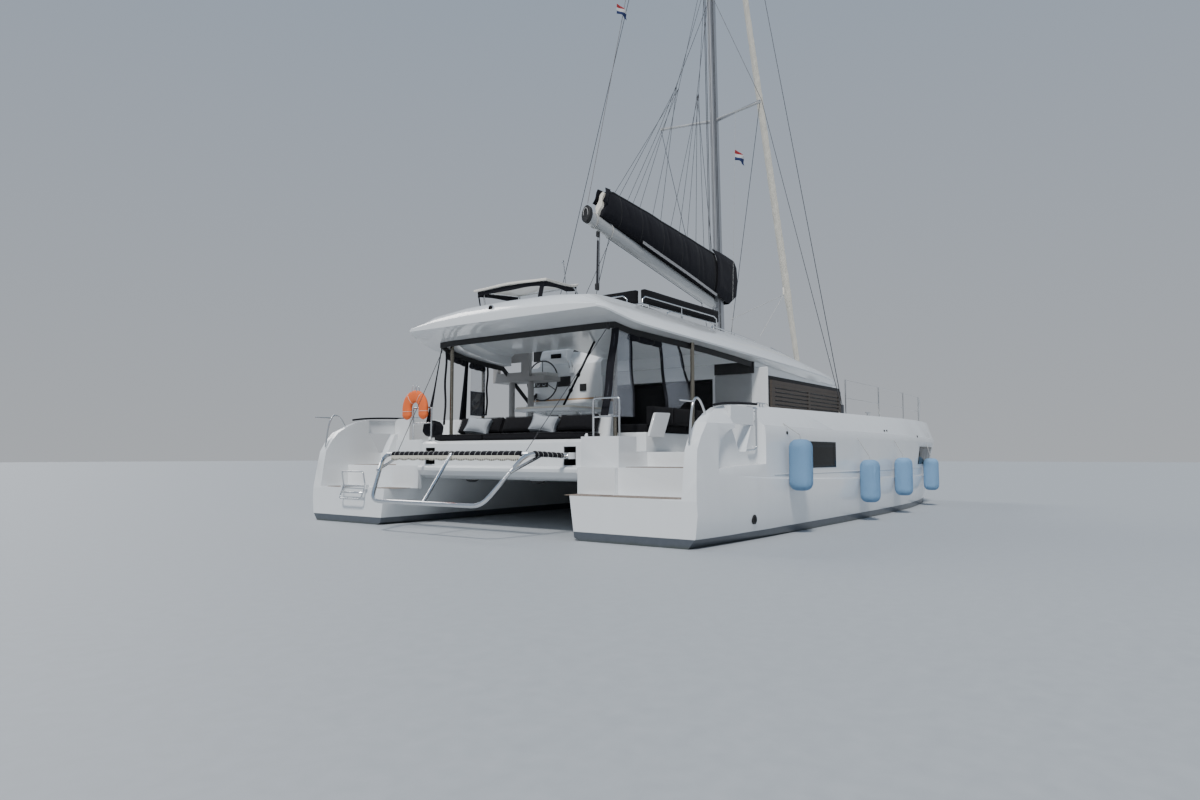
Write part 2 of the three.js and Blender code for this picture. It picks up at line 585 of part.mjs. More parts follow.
function consoleSolid() {
  const { x: [x0, x1], y, foot, top } = CONSOLE;
  const hatchFore = HATCHWAY.x[1] - 10;
  const side = [[x0 - foot, SOLE_Z + GAP], [x1, SOLE_Z + GAP], [x1, 2560], [hatchFore, 2600], [hatchFore, top],
    [x0 + 200, top], [x0 + 60, 2960], [x0, 2900], [x0, 2200], [x0 - foot, 2120]];
  const lower = sidePlate(side, y);
  const clears = [
    box([x0 - foot - 10, x1 + 10], [y[0] - 10, HATCHWAY.y[0] + 30], [2640, top + 10]),
    box([x0 - foot - 10, x1 + 10], [y[1] - 200, y[1] + 10], [2880, top + 10]),
  ];
  const pod = sidePlate([[POD.x[0], POD.z[0] + 60], [POD.x[0] + 60, POD.z[1] - 40], [POD.x[0] + 140, POD.z[1]],
    [POD.x[1], POD.z[1] - 30], [POD.x[1], POD.z[0] - 60], [POD.x[0] + 90, POD.z[0] - 60]], POD.y);
  return join(cut(lower, ...clears), pod);
}
add("helm_console", shell(consoleSolid()), "gelcoat");

function wheelSolid() {
  const rim = new THREE.TorusGeometry(WHEEL.r, WHEEL.rim, 6, 32);
  rim.rotateY(Math.PI / 2);
  rim.translate(WHEEL.x, HELM_Y, WHEEL.z);
  const centre = at(WHEEL.x, HELM_Y, WHEEL.z);
  const spokes = [90, 210, 330].map((degrees) => {
    const a = THREE.MathUtils.degToRad(degrees);
    return bar(centre, at(WHEEL.x, HELM_Y + WHEEL.r * Math.cos(a), WHEEL.z + WHEEL.r * Math.sin(a)), 9, 6);
  });
  const hub = bar(at(WHEEL.x - 20, HELM_Y, WHEEL.z), at(CONSOLE.x[0] - GAP, HELM_Y, WHEEL.z), WHEEL.hub, 16);
  return join(solid(rim), hub, ...spokes);
}
add("helm_wheel", shell(wheelSolid()), "steel");

const HELM_SEAT = { x: -3150, y: [1290, 2620], back: [1670, 2620], z: [2520, 3110] };

function helmSeatSolid() {
  const { x, y, back, z } = HELM_SEAT;
  const posts = [1730, 2220].map((py) => bar(at(x + 60, py, SOLE_Z + GAP), at(x + 60, py, z[0] + 30), 60, 12));
  const bench = box([x - 60, x + 420], y, [z[0], z[0] + 90]);
  const rest = box([x - 60, x + 20], back, [z[0] + 60, z[1]]);
  const slot = box([x - 80, x + 40], [back[0] + 210, back[1] - 140], [z[0] + 180, z[1] - 215]);
  return join(cut(join(bench, rest), slot), ...posts);
}
add("helm_seat", shell(helmSeatSolid()), "grey");

// Hard top over the helm on its two hoops
const HARDTOP = { x: [-3850, -2500], y: [710, 2540], z: 4225, climb: 95, lip: 75, arch: 35, taper: 320, thick: 45 };

function hardtopSolid() {
  const [x0, x1] = HARDTOP.x;
  const rings = [];
  for (let i = 0; i <= 8; i += 1) {
    const t = i / 8;
    const x = x0 + t * (x1 - x0);
    const rise = HARDTOP.z + HARDTOP.climb * t + HARDTOP.lip * t ** 8;
    const near = HARDTOP.y[0] + HARDTOP.taper * t;
    const across = [];
    for (let j = 0; j <= 6; j += 1) {
      const u = j / 6;
      across.push([near + u * (HARDTOP.y[1] - near), rise + HARDTOP.arch * Math.sin(Math.PI * u) ** 2]);
    }
    const top = across.map(([y, z]) => at(x, y, z + HARDTOP.thick)).reverse();
    const under = across.map(([y, z]) => at(x, y, z));
    rings.push([...under, ...top]);
  }
  return loft(rings);
}
add("helm_hardtop", shell(hardtopSolid()), "cream");

// Its two hoops. Columns: foot x, top x, top z
const HOOPS = [
  [-3560, -3680, 4242],
  [-1760, -2700, 4318],
];

function hardtopFrameSolid() {
  const hoops = HOOPS.map(([foot, x, z]) => bentTube([at(foot, 980, 3300), at(x, 980, z),
    at(x, 2440, z), at(foot, 2300, 2850)], 16));
  const [aft, fore] = HOOPS;
  const rails = [1100, 2440].map((y) => bar(at(aft[1], y, aft[2]), at(fore[1], y, fore[2]), 16));
  return trimmed(join(...hoops, ...rails), hardtopSolid(), [0, 0, -1]);
}

// Heights of the roof's top, for what stands on it
const roofTop = (x, out) => {
  const centre = fair(ROOF_LINES, 1, x);
  const shoulderOut = fair(ROOF_LINES, 2, x);
  const shoulder = fair(ROOF_LINES, 3, x);
  const middle = centre - 0.18 * (centre - shoulder);
  const half = shoulderOut * 0.55;
  return out < half ? centre + (middle - centre) * (out / half)
    : middle + (shoulder - middle) * ((out - half) / (shoulderOut - half));
};
add("helm_hardtop_frame", shell(trimmed(hardtopFrameSolid(), roofSolid(), [0, 0, 1])), "steel");

// Lounge on the roof: an L of backrests on rails round a sun pad
const LOUNGE = { aft: -3520, fore: -880, side: -1060, other: 150, low: 3665, high: 3900, thick: 110 };

function loungeBackSolid() {
  const zs = [LOUNGE.low, LOUNGE.high];
  return join(
    box([LOUNGE.aft, LOUNGE.fore], [LOUNGE.side - LOUNGE.thick, LOUNGE.side], zs),
    box([LOUNGE.aft, LOUNGE.aft + LOUNGE.thick], [LOUNGE.side - 10, LOUNGE.other], zs),
  );
}
add("lounge_backrest", shell(loungeBackSolid()), "black");

function loungeRailSolid() {
  const z = LOUNGE.low - 16 - GAP;
  const side = LOUNGE.side - LOUNGE.thick / 2;
  const aft = LOUNGE.aft + LOUNGE.thick / 2;
  const rail = bentTube([at(LOUNGE.fore, side, z), at(aft, side, z), at(aft, LOUNGE.other, z)], 16);
  const feet = [[LOUNGE.fore - 150, side], [-2200, side], [aft + 150, side], [aft, LOUNGE.other - 150]]
    .map(([x, y]) => bar(at(x, y, 3200), at(x, y, z), 16));
  return trimmed(join(rail, ...feet), roofSolid(), [0, 0, 1]);
}
add("lounge_rail", shell(loungeRailSolid()), "steel");

function loungePadSolid() {
  const xs = [LOUNGE.aft + 150, LOUNGE.fore];
  const ys = [LOUNGE.side + 30, LOUNGE.other - 100];
  const top = [[xs[0], 3650], [xs[1], 3540]];
  return cut(
    sidePlate([[xs[0], 3300], [xs[1], 3300], ...top.reverse()], ys),
    roofSolid(),
    loft(ROOF_STATIONS.map((x) => roofRing(x).map((p) => at(p.x, p.y, p.z + 0.4)))),
  );
}
add("lounge_pad", shell(loungePadSolid()), "black");

// Mast with its spreaders
const RAKE = 0.034;
const MAST = { foot: roofTop(MAST_X, 0), top: 20650, chord: 290, width: 175 };
const mastX = (z) => MAST_X - RAKE * (z - MAST.foot);
const GOOSENECK = at(mastX(4450) - MAST.chord / 2 - 70, 0, 4450);
const NECK = { r: 36, tall: 60, plate: 14 };
const SPREADER = { z: 8730, tip: 1260, aft: 280 };
const HOUNDS_Z = 17900;
const CAP_SHROUD_Z = 18900;
const INNER_SHROUD_Z = 11500;

function ovalRing(x, z, chord, width, sides = 16) {
  const ring = [];
  for (let i = 0; i < sides; i += 1) {
    const a = (2 * Math.PI * i) / sides;
    ring.push(at(x + (chord / 2) * Math.cos(a), (width / 2) * Math.sin(a), z));
  }
  return ring;
}

function mastSolid() {
  const levels = [MAST.foot - 30, HOUNDS_Z, MAST.top];
  const scale = [1, 1, 0.7];
  const tube = loft(levels.map((z, i) => ovalRing(mastX(z), z, MAST.chord * scale[i], MAST.width * scale[i])), "z");
  const foot = box([MAST_X - 210, MAST_X + 210], [-150, 150], [MAST.foot - 40, MAST.foot + 60]);
  const spreaders = [-1, 1].map((s) => bar(at(mastX(SPREADER.z) , 0, SPREADER.z - 60),
    at(mastX(SPREADER.z) - SPREADER.aft, s * SPREADER.tip, SPREADER.z), 34, 8, 22));
  const plates = [-1, 1].map((way) => {
    const middle = GOOSENECK.z + way * (NECK.tall + NECK.plate / 2 + GAP);
    return box([GOOSENECK.x - NECK.r, mastX(GOOSENECK.z)], [-NECK.r, NECK.r],
      [middle - NECK.plate / 2, middle + NECK.plate / 2]);
  });
  return join(tube, foot, ...spreaders, ...plates);
}
const mastWhole = trimmed(mastSolid(), roofSolid(), [0, 0, 1]);
add("mast", shell(mastWhole), "alloy");

// Boom, its gooseneck on the after face of the mast, peaked up on the topping lift
const BOOM_END = at(-3560, 0, 5330);

const BOOM_START = 0.035;
const BOOM_HALF = 130;

function alongBoom(t, rise = 0) {
  const p = GOOSENECK.clone().lerp(BOOM_END, t);
  p.z += rise;
  return p;
}

function boomSolid() {
  const ring = (t) => {
    const p = alongBoom(t);
    return ovalRing(0, 0, 2 * BOOM_HALF, 170).map((q) => at(p.x, p.y + q.y, p.z + q.x));
  };
  const body = loft([ring(1), ring(BOOM_START)]);
  const neck = bar(alongBoom(0.05), at(GOOSENECK.x, 0, GOOSENECK.z), 34, 10);
  const sleeve = bar(at(GOOSENECK.x, 0, GOOSENECK.z - NECK.tall), at(GOOSENECK.x, 0, GOOSENECK.z + NECK.tall), NECK.r, 12);
  return join(body, neck, sleeve);
}
add("boom", shell(boomSolid()), "alloy");

// Bag that holds the lowered mainsail along the top of the boom
// Columns: place along the boom, height over it, half width
const BAG_LINES = [
  [0.96, 310, 90],
  [0.905, 600, 140],
  [0.865, 750, 165],
  [0.67, 850, 205],
  [0.3, 1010, 225],
  [0.035, 1150, 195],
];

function bagSolid() {
  const low = BOOM_HALF + GAP;
  const rings = BAG_LINES.map(([t, high, half]) => {
    const p = alongBoom(t);
    const mid = (low + high) / 2;
    return [[0, low], [half * 0.7, low + 30], [half, mid], [half * 0.6, high - 50], [0, high],
      [-half * 0.6, high - 50], [-half, mid], [-half * 0.7, low + 30]]
      .map(([y, z]) => at(p.x, y, p.z + z));
  });
  return loft(rings);
}
add("sail_bag", shell(bagSolid()), "canvas");

// Front of the bag, laced round the mast ahead of the boom
// Columns: z, foremost x, after x, half width
const COLLAR_LINES = [
  [4540, 1600, 1180, 130],
  [4700, 1860, 1150, 185],
  [5000, 1925, 1140, 195],
  [5400, 1915, 1130, 175],
  [5620, 1880, 1130, 120],
];

function collarSolid() {
  const rings = COLLAR_LINES.map(([z, fore, aft, half]) => [[aft, -half], [fore - 220, -half], [fore - 60, -0.6 * half],
    [fore, 0], [fore - 60, 0.6 * half], [fore - 220, half], [aft, half]].map(([x, y]) => at(x, y, z)));
  const aftMast = box([900, mastX(5000)], [-MAST.width / 2 - GAP, MAST.width / 2 + GAP], [4500, 5700]);
  const mastSpace = loft([4400, 5800].map((z) => ovalRing(mastX(z), z, MAST.chord + 2 * GAP, MAST.width + 2 * GAP)), "z");
  return cut(loft(rings, "z"), mastSpace, aftMast);
}
add("sail_bag_front", shell(collarSolid()), "canvas");

// Forward crossbeam, bow spine with anchor roller
const SPINE = { half: 140, z: [1560, 1790] };

function spineSolid() {
  const body = sidePlate([[FOREDECK_X + GAP, SPINE.z[0]], [6200, SPINE.z[0] + 60], [6380, SPINE.z[0] + 140],
    [6380, SPINE.z[1] + 20], [FOREDECK_X + GAP, SPINE.z[1]]], [-SPINE.half, SPINE.half]);
  const beam = bar(at(CROSSBEAM_X, -2600, 1700), at(CROSSBEAM_X, 2600, 1700), 85, 16);
  return join(body, betweenHulls(beam));
}
add("bow_spine", shell(spineSolid()), "alloy");

// Furled headsail on its forestay, from the bow spine's nose to the hounds
const FORESTAY = { foot: at(6290, 0, 1780), head: at(mastX(HOUNDS_Z) + MAST.chord / 2 - 20, 0, HOUNDS_Z) };

function headsailSolid() {
  const { foot, head } = FORESTAY;
  const on = (t) => foot.clone().lerp(head, t);
  return join(
    bar(foot, on(0.02), 14),
    bar(on(0.018), on(0.032), 110, 12),
    bar(on(0.03), on(0.06), 70, 12, 95),
    bar(on(0.0595), on(0.5), 95, 12, 85),
    bar(on(0.4995), on(0.93), 85, 12, 45),
    bar(on(0.93), head, 14),
  );
}
const headsail = trimmed(trimmed(headsailSolid(), spineSolid(), [0, 0, 1]), mastWhole, [1, 0, 0]);
add("furled_headsail", shell(headsail), "cream");

// Shrouds of each side on one chainplate: the cap shroud straight up, the inner one over the spreader tip
const CHAINPLATE = { x: -980, out: 3590, z: 1840 };

for (const { side, s } of SIDES) {
  const plate = at(CHAINPLATE.x, s * CHAINPLATE.out, CHAINPLATE.z + 8);
  const tip = at(mastX(SPREADER.z) - SPREADER.aft - 2, s * (SPREADER.tip + 36), SPREADER.z);
  const onMast = (z) => at(mastX(z), s * (MAST.width / 2 - 24), z);
  const foot = (along) => at(plate.x + along, plate.y, plate.z + 60);
  const fitting = sideBox(s, [plate.x - 40, plate.x + 40], [CHAINPLATE.out - 12, CHAINPLATE.out + 12],
    [plate.z - 40, plate.z + 130]);
  const stays = join(fitting, bar(foot(22), onMast(CAP_SHROUD_Z), 7, 6),
    bentTube([foot(-22), tip, onMast(INNER_SHROUD_Z)], 6, 6));
  const hull = solid(s < 0 ? starboardHull : portHull);
  add(`shrouds_${side}`, shell(trimmed(trimmed(stays, mastWhole, [0, s, 0]), hull, [0, 0, 1])), "steel");
}

// Trampolines laced between the hulls, the spine and the two beams
for (const { side, s } of SIDES) {
  const inner = SPINE.half + GAP;
  const xs = [FOREDECK_X + GAP, CROSSBEAM_X - 85 - GAP];
  const net = planPlate([[xs[0], s * inner], [xs[0], s * 2500], [xs[1], s * 2500], [xs[1], s * inner]], [1735, 1750]);
  add(`trampoline_${side}`, shell(betweenHulls(net)), "net");
}

// Guard rails: pulpit, stanchions and two wires along each side deck, as one welded run
const RAIL = { top: 2450, mid: 2120, x: [-600, 1300, 3100, 4700], out: 3500 };

for (const { side, s } of SIDES) {
  const deck = (x) => fair(HULL_LINES, 13, x);
  const edge = (x) => fair(HULL_LINES, 12, x) - 95;
  const posts = RAIL.x.map((x) => bar(at(x, s * edge(x), deck(x) - 30), at(x, s * edge(x), RAIL.top), 13));
  const wires = [];
  for (let i = 1; i < RAIL.x.length; i += 1) {
    const [a, b] = [RAIL.x[i - 1], RAIL.x[i]];
    for (const z of [RAIL.mid, RAIL.top - 10]) {
      wires.push(bar(at(a, s * edge(a), z), at(b, s * edge(b), z), 5, 6));
    }
  }
  const [p0, p1] = [4700, 6150];
  const pulpit = bentTube([at(p0, s * edge(p0), RAIL.top - 14), at(p1, s * (edge(p1) - 20), RAIL.top - 14),
    at(p1 + 60, s * (edge(p1) - 80), deck(p1) - 30)], 14);
  const hull = solid(s < 0 ? starboardHull : portHull);
  add(`guardrail_${side}`, shell(trimmed(join(...posts, ...wires, pulpit), hull, [0, 0, 1])), "steel");
}

// Stern rails on the blocks beside the steps
const STERN_RAIL_X = -5620;
for (const { side, s } of SIDES) {
  const [y0, y1] = [1680, 2130];
  const x = STERN_RAIL_X;
  const loop = bentTube([at(x, s * y0, BLOCK_Z + GAP), at(x, s * y0, 1900),
    at(x, s * y1, 1900), at(x, s * y1, BLOCK_Z + GAP)], 14);
  const mid = bar(at(x, s * y0, 1640), at(x, s * y1, 1640), 11);
  add(`stern_rail_${side}`, shell(join(loop, mid)), "steel");
}

// Side gates: a panel that fills the top of the gap and swings inwards, and a fixed tube handrail
for (const { side, s } of SIDES) {
  const face = [GATE_FACE_OUT - GATE_THICK, GATE_FACE_OUT];
  const panel = sideBox(s, [GATE.aft + RUN, GATE.fore - RUN], face, [GATE.sill + RUN, 1745]);
  const knuckle = bar(at(GATE.fore - RUN, s * face[0], GATE.sill + 12), at(GATE.fore - RUN, s * face[0], 1735),
    RUN - GAP, 8);
  add(`gate_${side}`, shell(join(panel, knuckle)), "gelcoat");
  const y = s * (GATE_FACE_OUT + 30);
  const pegs = [[-4740, 1690], [-4740, 1560]].map(([x, z]) => bar(at(x, s * (GATE_FACE_OUT + GAP), z), at(x, y, z), 9));
  const hoop = bentTube([at(-4740, y, 1720), at(-4740, y, 1180), at(-4990, y, 1170)], 13, 8, 60);
  add(`gate_handrail_${side}`, shell(join(hoop, ...pegs)), "steel");
}

// Tender davit: a tube frame hinged in the pockets of the crossbeam, lowered aft
function davitSolid() {
  const { out, hinge, r, lug } = DAVIT;
  const arm = (s) => [at(hinge.x, s * out, hinge.z), at(-6760, s * out, 1125), at(-7240, s * (out - 330), 450)];
  const [port, starboard] = [arm(1), arm(-1)];
  const outline = bentTube([...port, ...starboard.reverse()], r, 8, DAVIT.bend);
  const strut = bar(at(-6730, 0, 1125), at(-7240, 0, 450), 24);
  const across = bar(at(-6700, -out, 1125), at(-6700, out, 1125), 20);
  const braces = [-1, 1].map((s) => bar(at(-6430, s * out, 1110), at(-6960, s * (out - 95), 880), 22));
  const knuckles = [-1, 1].map((s) => bar(at(hinge.x, s * (out - lug), hinge.z), at(hinge.x, s * (out + lug), hinge.z), 42, 12));
  return join(outline, strut, across, ...braces, ...knuckles);
}
add("davit_frame", shell(davitSolid()), "steel");

// Swim ladder, half folded over the edge of the port platform
function ladderSolid() {
  const { y, hinge, end } = LADDER;
  const loop = (reach) => [at(hinge.x, y[0], hinge.z), at(reach.x, y[0], reach.z),
    at(reach.x, y[1], reach.z), at(hinge.x, y[1], hinge.z)];
  const upper = bentTube(loop(at(-6460, 0, 840)), 13);
  const lower = bentTube(loop(at(-6500, 0, 400)), 13);
  const axle = bar(at(hinge.x, y[0] - end, hinge.z), at(hinge.x, y[1] + end, hinge.z), 15, 12);
  const tread = bar(at(-6465, y[0], 500), at(-6465, y[1], 500), 14);
  return join(upper, lower, axle, tread);
}
add("swim_ladder", shell(ladderSolid()), "steel");

// Gangway of slats, stowed on edge along the starboard side deck
const GANGWAY = { x: [-3560, -670], z: [DECK_Z + GAP, 2225], out: 3420, thick: 34 };

function gangwaySolid() {
  const { x, z, out, thick } = GANGWAY;
  const plate = box(x, [-out - thick, -out], z);
  const slots = [];
  const pitch = 62;
  for (let low = z[0] + 50; low + 30 < z[1] - 40; low += pitch) {
    for (const [a, b] of [[x[0] + 110, (x[0] + x[1]) / 2 - 40], [(x[0] + x[1]) / 2 + 40, x[1] - 110]]) {
      slots.push(box([a, b], [-out - thick - 5, -out + 5], [low, low + 26]));
    }
  }
  return cut(plate, ...slots);
}
add("gangway", shell(gangwaySolid()), "teak");

// Fenders along the starboard side
// Columns: x, middle z, length, radius
const FENDERS = [
  [-3900, 968, 720, 165],
  [-950, 670, 720, 165],
  [1180, 700, 720, 165],
  [4000, 690, 700, 160],
];

// How far out the side reaches anywhere below height z
const sideLine = (z) => HULL_STATIONS.map((x) => {
  const [ledgeZ, foot, side, creaseZ] = [7, 9, 10, 11].map((column) => fair(HULL_LINES, column, x));
  const flare = (side - foot) * Math.max((z - ledgeZ) / (creaseZ - ledgeZ), 0);
  return [x, Math.max(foot + reading(HULL_LINES, 8, x) + 2, foot + flare)];
});

function fenderSolid([x, z, length, radius]) {
  const half = length / 2;
  const round = 120;
  const touch = half - round - 14;
  const out = reading(sideLine(z + touch), 1, x) + radius + GAP;
  const profile = [[0, -half], [radius * 0.35, -half], [radius * 0.8, -half + 45], [radius, round - half],
    [radius, half - round], [radius * 0.8, half - 45], [radius * 0.35, half], [0, half]];
  const geometry = new THREE.LatheGeometry(profile.map(([r, h]) => new THREE.Vector2(r, h)), 18);
  geometry.rotateX(Math.PI / 2);
  geometry.translate(x, -out, z);
  return geometry;
}
FENDERS.forEach((row, i) => add(`fender_${i + 1}`, fenderSolid(row), "fender"));

// Horseshoe buoy on the port stern rail
const BUOY = { outer: 305, inner: 100, foot: -190, thick: 95, y: 2014, z: 1887 };

function buoySolid() {
  const { outer, inner, foot } = BUOY;
  const outline = new THREE.Shape();
  outline.moveTo(outer, foot);
  outline.lineTo(outer, 0);
  outline.absarc(0, 0, outer, 0, Math.PI, false);
  outline.lineTo(-outer, foot);
  outline.lineTo(-inner, foot);
  outline.lineTo(-inner, 0);
  outline.absarc(0, 0, inner, Math.PI, 0, true);
  outline.lineTo(inner, foot);
  const options = { depth: BUOY.thick, bevelEnabled: false, curveSegments: 12 };
  const geometry = new THREE.ExtrudeGeometry(outline, options);
  geometry.rotateX(Math.PI / 2);
  geometry.rotateZ(Math.PI / 2);
  geometry.translate(STERN_RAIL_X - 14 - GAP - BUOY.thick, BUOY.y, BUOY.z);
  return geometry;
}
add("horseshoe_buoy", shell(solid(buoySolid())), "buoy");

// Rudders, saildrive engines and propellers
const RUDDER = { top: -235, foot: -950, aft: 330, fore: 130, half: 34 };
const SHAFT = { z: -660, x: -4770, r: 70 };
const PROP = { r: 215, blades: 3, x: -4860 };

for (const { side, s } of SIDES) {
  const y = s * HULL_AXIS;
  const section = (z, scale) => [[RUDDER_X - RUDDER.aft * scale, 0], [RUDDER_X - 60, -RUDDER.half],
    [RUDDER_X + 80, -RUDDER.half], [RUDDER_X + RUDDER.fore * scale, 0], [RUDDER_X + 80, RUDDER.half],
    [RUDDER_X - 60, RUDDER.half]].map(([px, py]) => at(px, y + py, z));
  const blade = loft([section(RUDDER.foot, 0.85), section(RUDDER.top, 1)], "z");
  const stock = bar(at(RUDDER_X, y, RUDDER.top - 100), at(RUDDER_X, y, STOCK_TOP), STOCK_R, 16);
  add(`rudder_${side}`, shell(join(blade, stock)), "antifouling");

  const block = sideBox(s, [BAY.x[0] + 90, BAY.x[1] - 60], [BAY.out[0] + 120, BAY.out[1] - 120],
    [BAY.floor + GAP, 850]);
  const leg = box([LEG_WELL.x[0] + 12, LEG_WELL.x[1] - 12], [y - 60, y + 60], [-640, BAY.floor + 20]);
  const pod = bar(at(SHAFT.x, y, SHAFT.z), at(-4450, y, SHAFT.z), SHAFT.r, 12, 40);
  add(`engine_${side}`, shell(join(block, leg, pod)), "iron");

  const blades = [];
  for (let i = 0; i < PROP.blades; i += 1) {
    const geometry = new THREE.CylinderGeometry(1, 1, 1, 10);
    geometry.scale(PROP.r * 0.36, 14, PROP.r * 0.45);
    geometry.rotateX(0.55);
    geometry.translate(0, 0, 0);
    geometry.rotateZ(Math.PI / 2);
    geometry.translate(0, 0, PROP.r * 0.56);
    geometry.rotateX((2 * Math.PI * i) / PROP.blades);
    geometry.translate(PROP.x, y, SHAFT.z);
    blades.push(solid(geometry));
  }
  const hub = bar(at(PROP.x - 60, y, SHAFT.z), at(SHAFT.x - GAP, y, SHAFT.z), 36, 12, 52);
  add(`propeller_${side}`, shell(join(hub, ...blades)), "bronze");

  const lid = sideBox(s, [LID.x[0] + LID.clear, LID.x[1] - LID.clear],
    [LID.out[0] + LID.clear, LID.out[1] - LID.clear], [SOLE_Z - LID.thick + GAP, SOLE_Z]);
  add(`engine_hatch_${side}`, shell(lid), "teak");
}

// Cockpit furniture: table, dark sofa to starboard, the lounge over the crossbeam
function tableSolid() {
  const top = box([-4500, -3500], [-350, 850], [1840, 1885]);
  const legs = [-100, 600].map((y) => bar(at(-4000, y, SOLE_Z + GAP), at(-4000, y, 1850), 45, 12));
  return join(top, ...legs);
}
add("cockpit_table", shell(tableSolid()), "gelcoat");

function sofaSolid() {
  const seat = box([-4850, -3050], [-2060, -1400], [SOLE_Z + GAP, 1560]);
  const back = box([-4850, -3050], [-2190, -2050], [SOLE_Z + GAP, 1830]);
  return join(seat, back);
}
add("cockpit_sofa", shell(sofaSolid()), "black");

add("stern_seat", shell(box([BEAM_AFT_X + 40, -5180], [-1500, 1420], [SEAT_BASE.z + GAP, SEAT_BASE.z + 100])), "black");

function sternBackSolid() {
  const profile = [[-5330, SEAT_BASE.z + 100 + GAP], [-5185, SEAT_BASE.z + 100 + GAP], [-5125, SEAT_RISE_Z - 5],
    [-5120, SEAT_RISE_Z + 30], [-5210, SEAT_RISE_Z + 30]];
  return sidePlate(profile, [-1480, 1400]);
}
add("stern_backrest", shell(sternBackSolid()), "black");

export default boat;
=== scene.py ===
"""Looks of a sailing catamaran afloat: finishes, soft goods, rigging and fittings round its fixed frame.

Metres. +X points to the bows, +Y to port, +Z up.
The origin lies on the waterline, amidships, on the centreline.
"""

import logging
from dataclasses import dataclass
from enum import Enum
from math import copysign, cos, exp, pi, radians, sin, sqrt
from typing import Any, Callable, Optional, Sequence

import bmesh
import bpy
from mathutils import Euler, Matrix, Vector, noise
from mathutils.bvhtree import BVHTree


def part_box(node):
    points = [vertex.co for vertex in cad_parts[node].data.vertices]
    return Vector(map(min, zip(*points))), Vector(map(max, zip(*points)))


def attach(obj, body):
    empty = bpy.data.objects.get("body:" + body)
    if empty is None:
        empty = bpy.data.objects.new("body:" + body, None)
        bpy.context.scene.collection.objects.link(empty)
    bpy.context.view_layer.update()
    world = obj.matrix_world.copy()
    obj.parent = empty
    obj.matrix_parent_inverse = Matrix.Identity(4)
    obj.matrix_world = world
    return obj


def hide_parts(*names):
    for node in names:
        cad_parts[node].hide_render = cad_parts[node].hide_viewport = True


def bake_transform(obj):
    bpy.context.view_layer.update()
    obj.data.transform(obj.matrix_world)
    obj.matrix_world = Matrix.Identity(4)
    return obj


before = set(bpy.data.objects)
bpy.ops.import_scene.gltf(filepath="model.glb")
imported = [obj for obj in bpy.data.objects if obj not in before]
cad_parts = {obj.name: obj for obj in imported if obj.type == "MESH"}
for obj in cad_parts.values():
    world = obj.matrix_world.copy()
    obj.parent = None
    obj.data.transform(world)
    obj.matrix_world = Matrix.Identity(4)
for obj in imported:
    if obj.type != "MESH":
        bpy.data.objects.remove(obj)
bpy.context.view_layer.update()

LOG = logging.getLogger("catamaran")
TAU = 2 * pi
OVERHEAD = 5.0
BESIDE = 6.0
Point = Sequence[float]
Pair = tuple[float, float]
Triple = tuple[float, float, float]
Piece = bpy.types.Object
Surface = Callable[[float, float], Point]


class Side(Enum):
    """A side of the boat, with the sign that its Y has."""

    STARBOARD = -1
    PORT = 1

    @property
    def word(self) -> str:
        """The side's name as it stands in the names of nodes and bodies."""
        return self.name.lower()


def both(name: str) -> list[str]:
    """The names that a name stands for, one for each side where it has a star."""
    return [name.replace("*", side.word) for side in Side] if "*" in name else [name]


# Shader maths


def operator(operation: str, reflected: bool = False) -> Callable[["Wire", Any], "Wire"]:
    """The method behind one of a wire's operators.

    Args:
        operation: The operation of the Math node that it adds.
        reflected: Whether the wire stands after the operator.

    Returns:
        The method.
    """
    def method(self: "Wire", other: Any) -> "Wire":
        """Adds the node."""
        return self.math(operation, *((other, self) if reflected else (self, other)))

    return method


class Wire:
    """A shader socket that is worked with as a number is.

    Args:
        bench: The bench whose tree the socket is in.
        socket: The output socket.
    """

    def __init__(self, bench: "Bench", socket: bpy.types.NodeSocket) -> None:
        """Keeps the bench and the socket."""
        self.bench = bench
        self.socket = socket

    def math(self, operation: str, *values: Any) -> "Wire":
        """Adds a Math node that works on the values."""
        return self.bench.node("Math", {"operation": operation}, dict(enumerate(values)))

    __add__ = __radd__ = operator("ADD")
    __mul__ = __rmul__ = operator("MULTIPLY")
    __sub__ = operator("SUBTRACT")
    __rsub__ = operator("SUBTRACT", reflected=True)
    __truediv__ = operator("DIVIDE")
    __rtruediv__ = operator("DIVIDE", reflected=True)
    __gt__ = operator("GREATER_THAN")
    __lt__ = operator("LESS_THAN")

    def repeat(self, pitch: float) -> "Wire":
        """The place within each repeat of a pitch, from 0 to 1."""
        return self.math("FRACT", self / pitch)

    def sine(self) -> "Wire":
        """The sine of this."""
        return self.math("SINE", self)

    def size(self) -> "Wire":
        """This without its sign."""
        return self.math("ABSOLUTE", self)

    def clamped(self) -> "Wire":
        """This held between 0 and 1."""
        return self.bench.node("Clamp", {}, {"Value": self})

    def between(self, low: float, high: float) -> "Wire":
        """A soft step from 0 at the low value to 1 at the high one."""
        settings = {"interpolation_type": "SMOOTHSTEP"}
        return self.bench.node("MapRange", settings, {"Value": self, "From Min": low, "From Max": high})


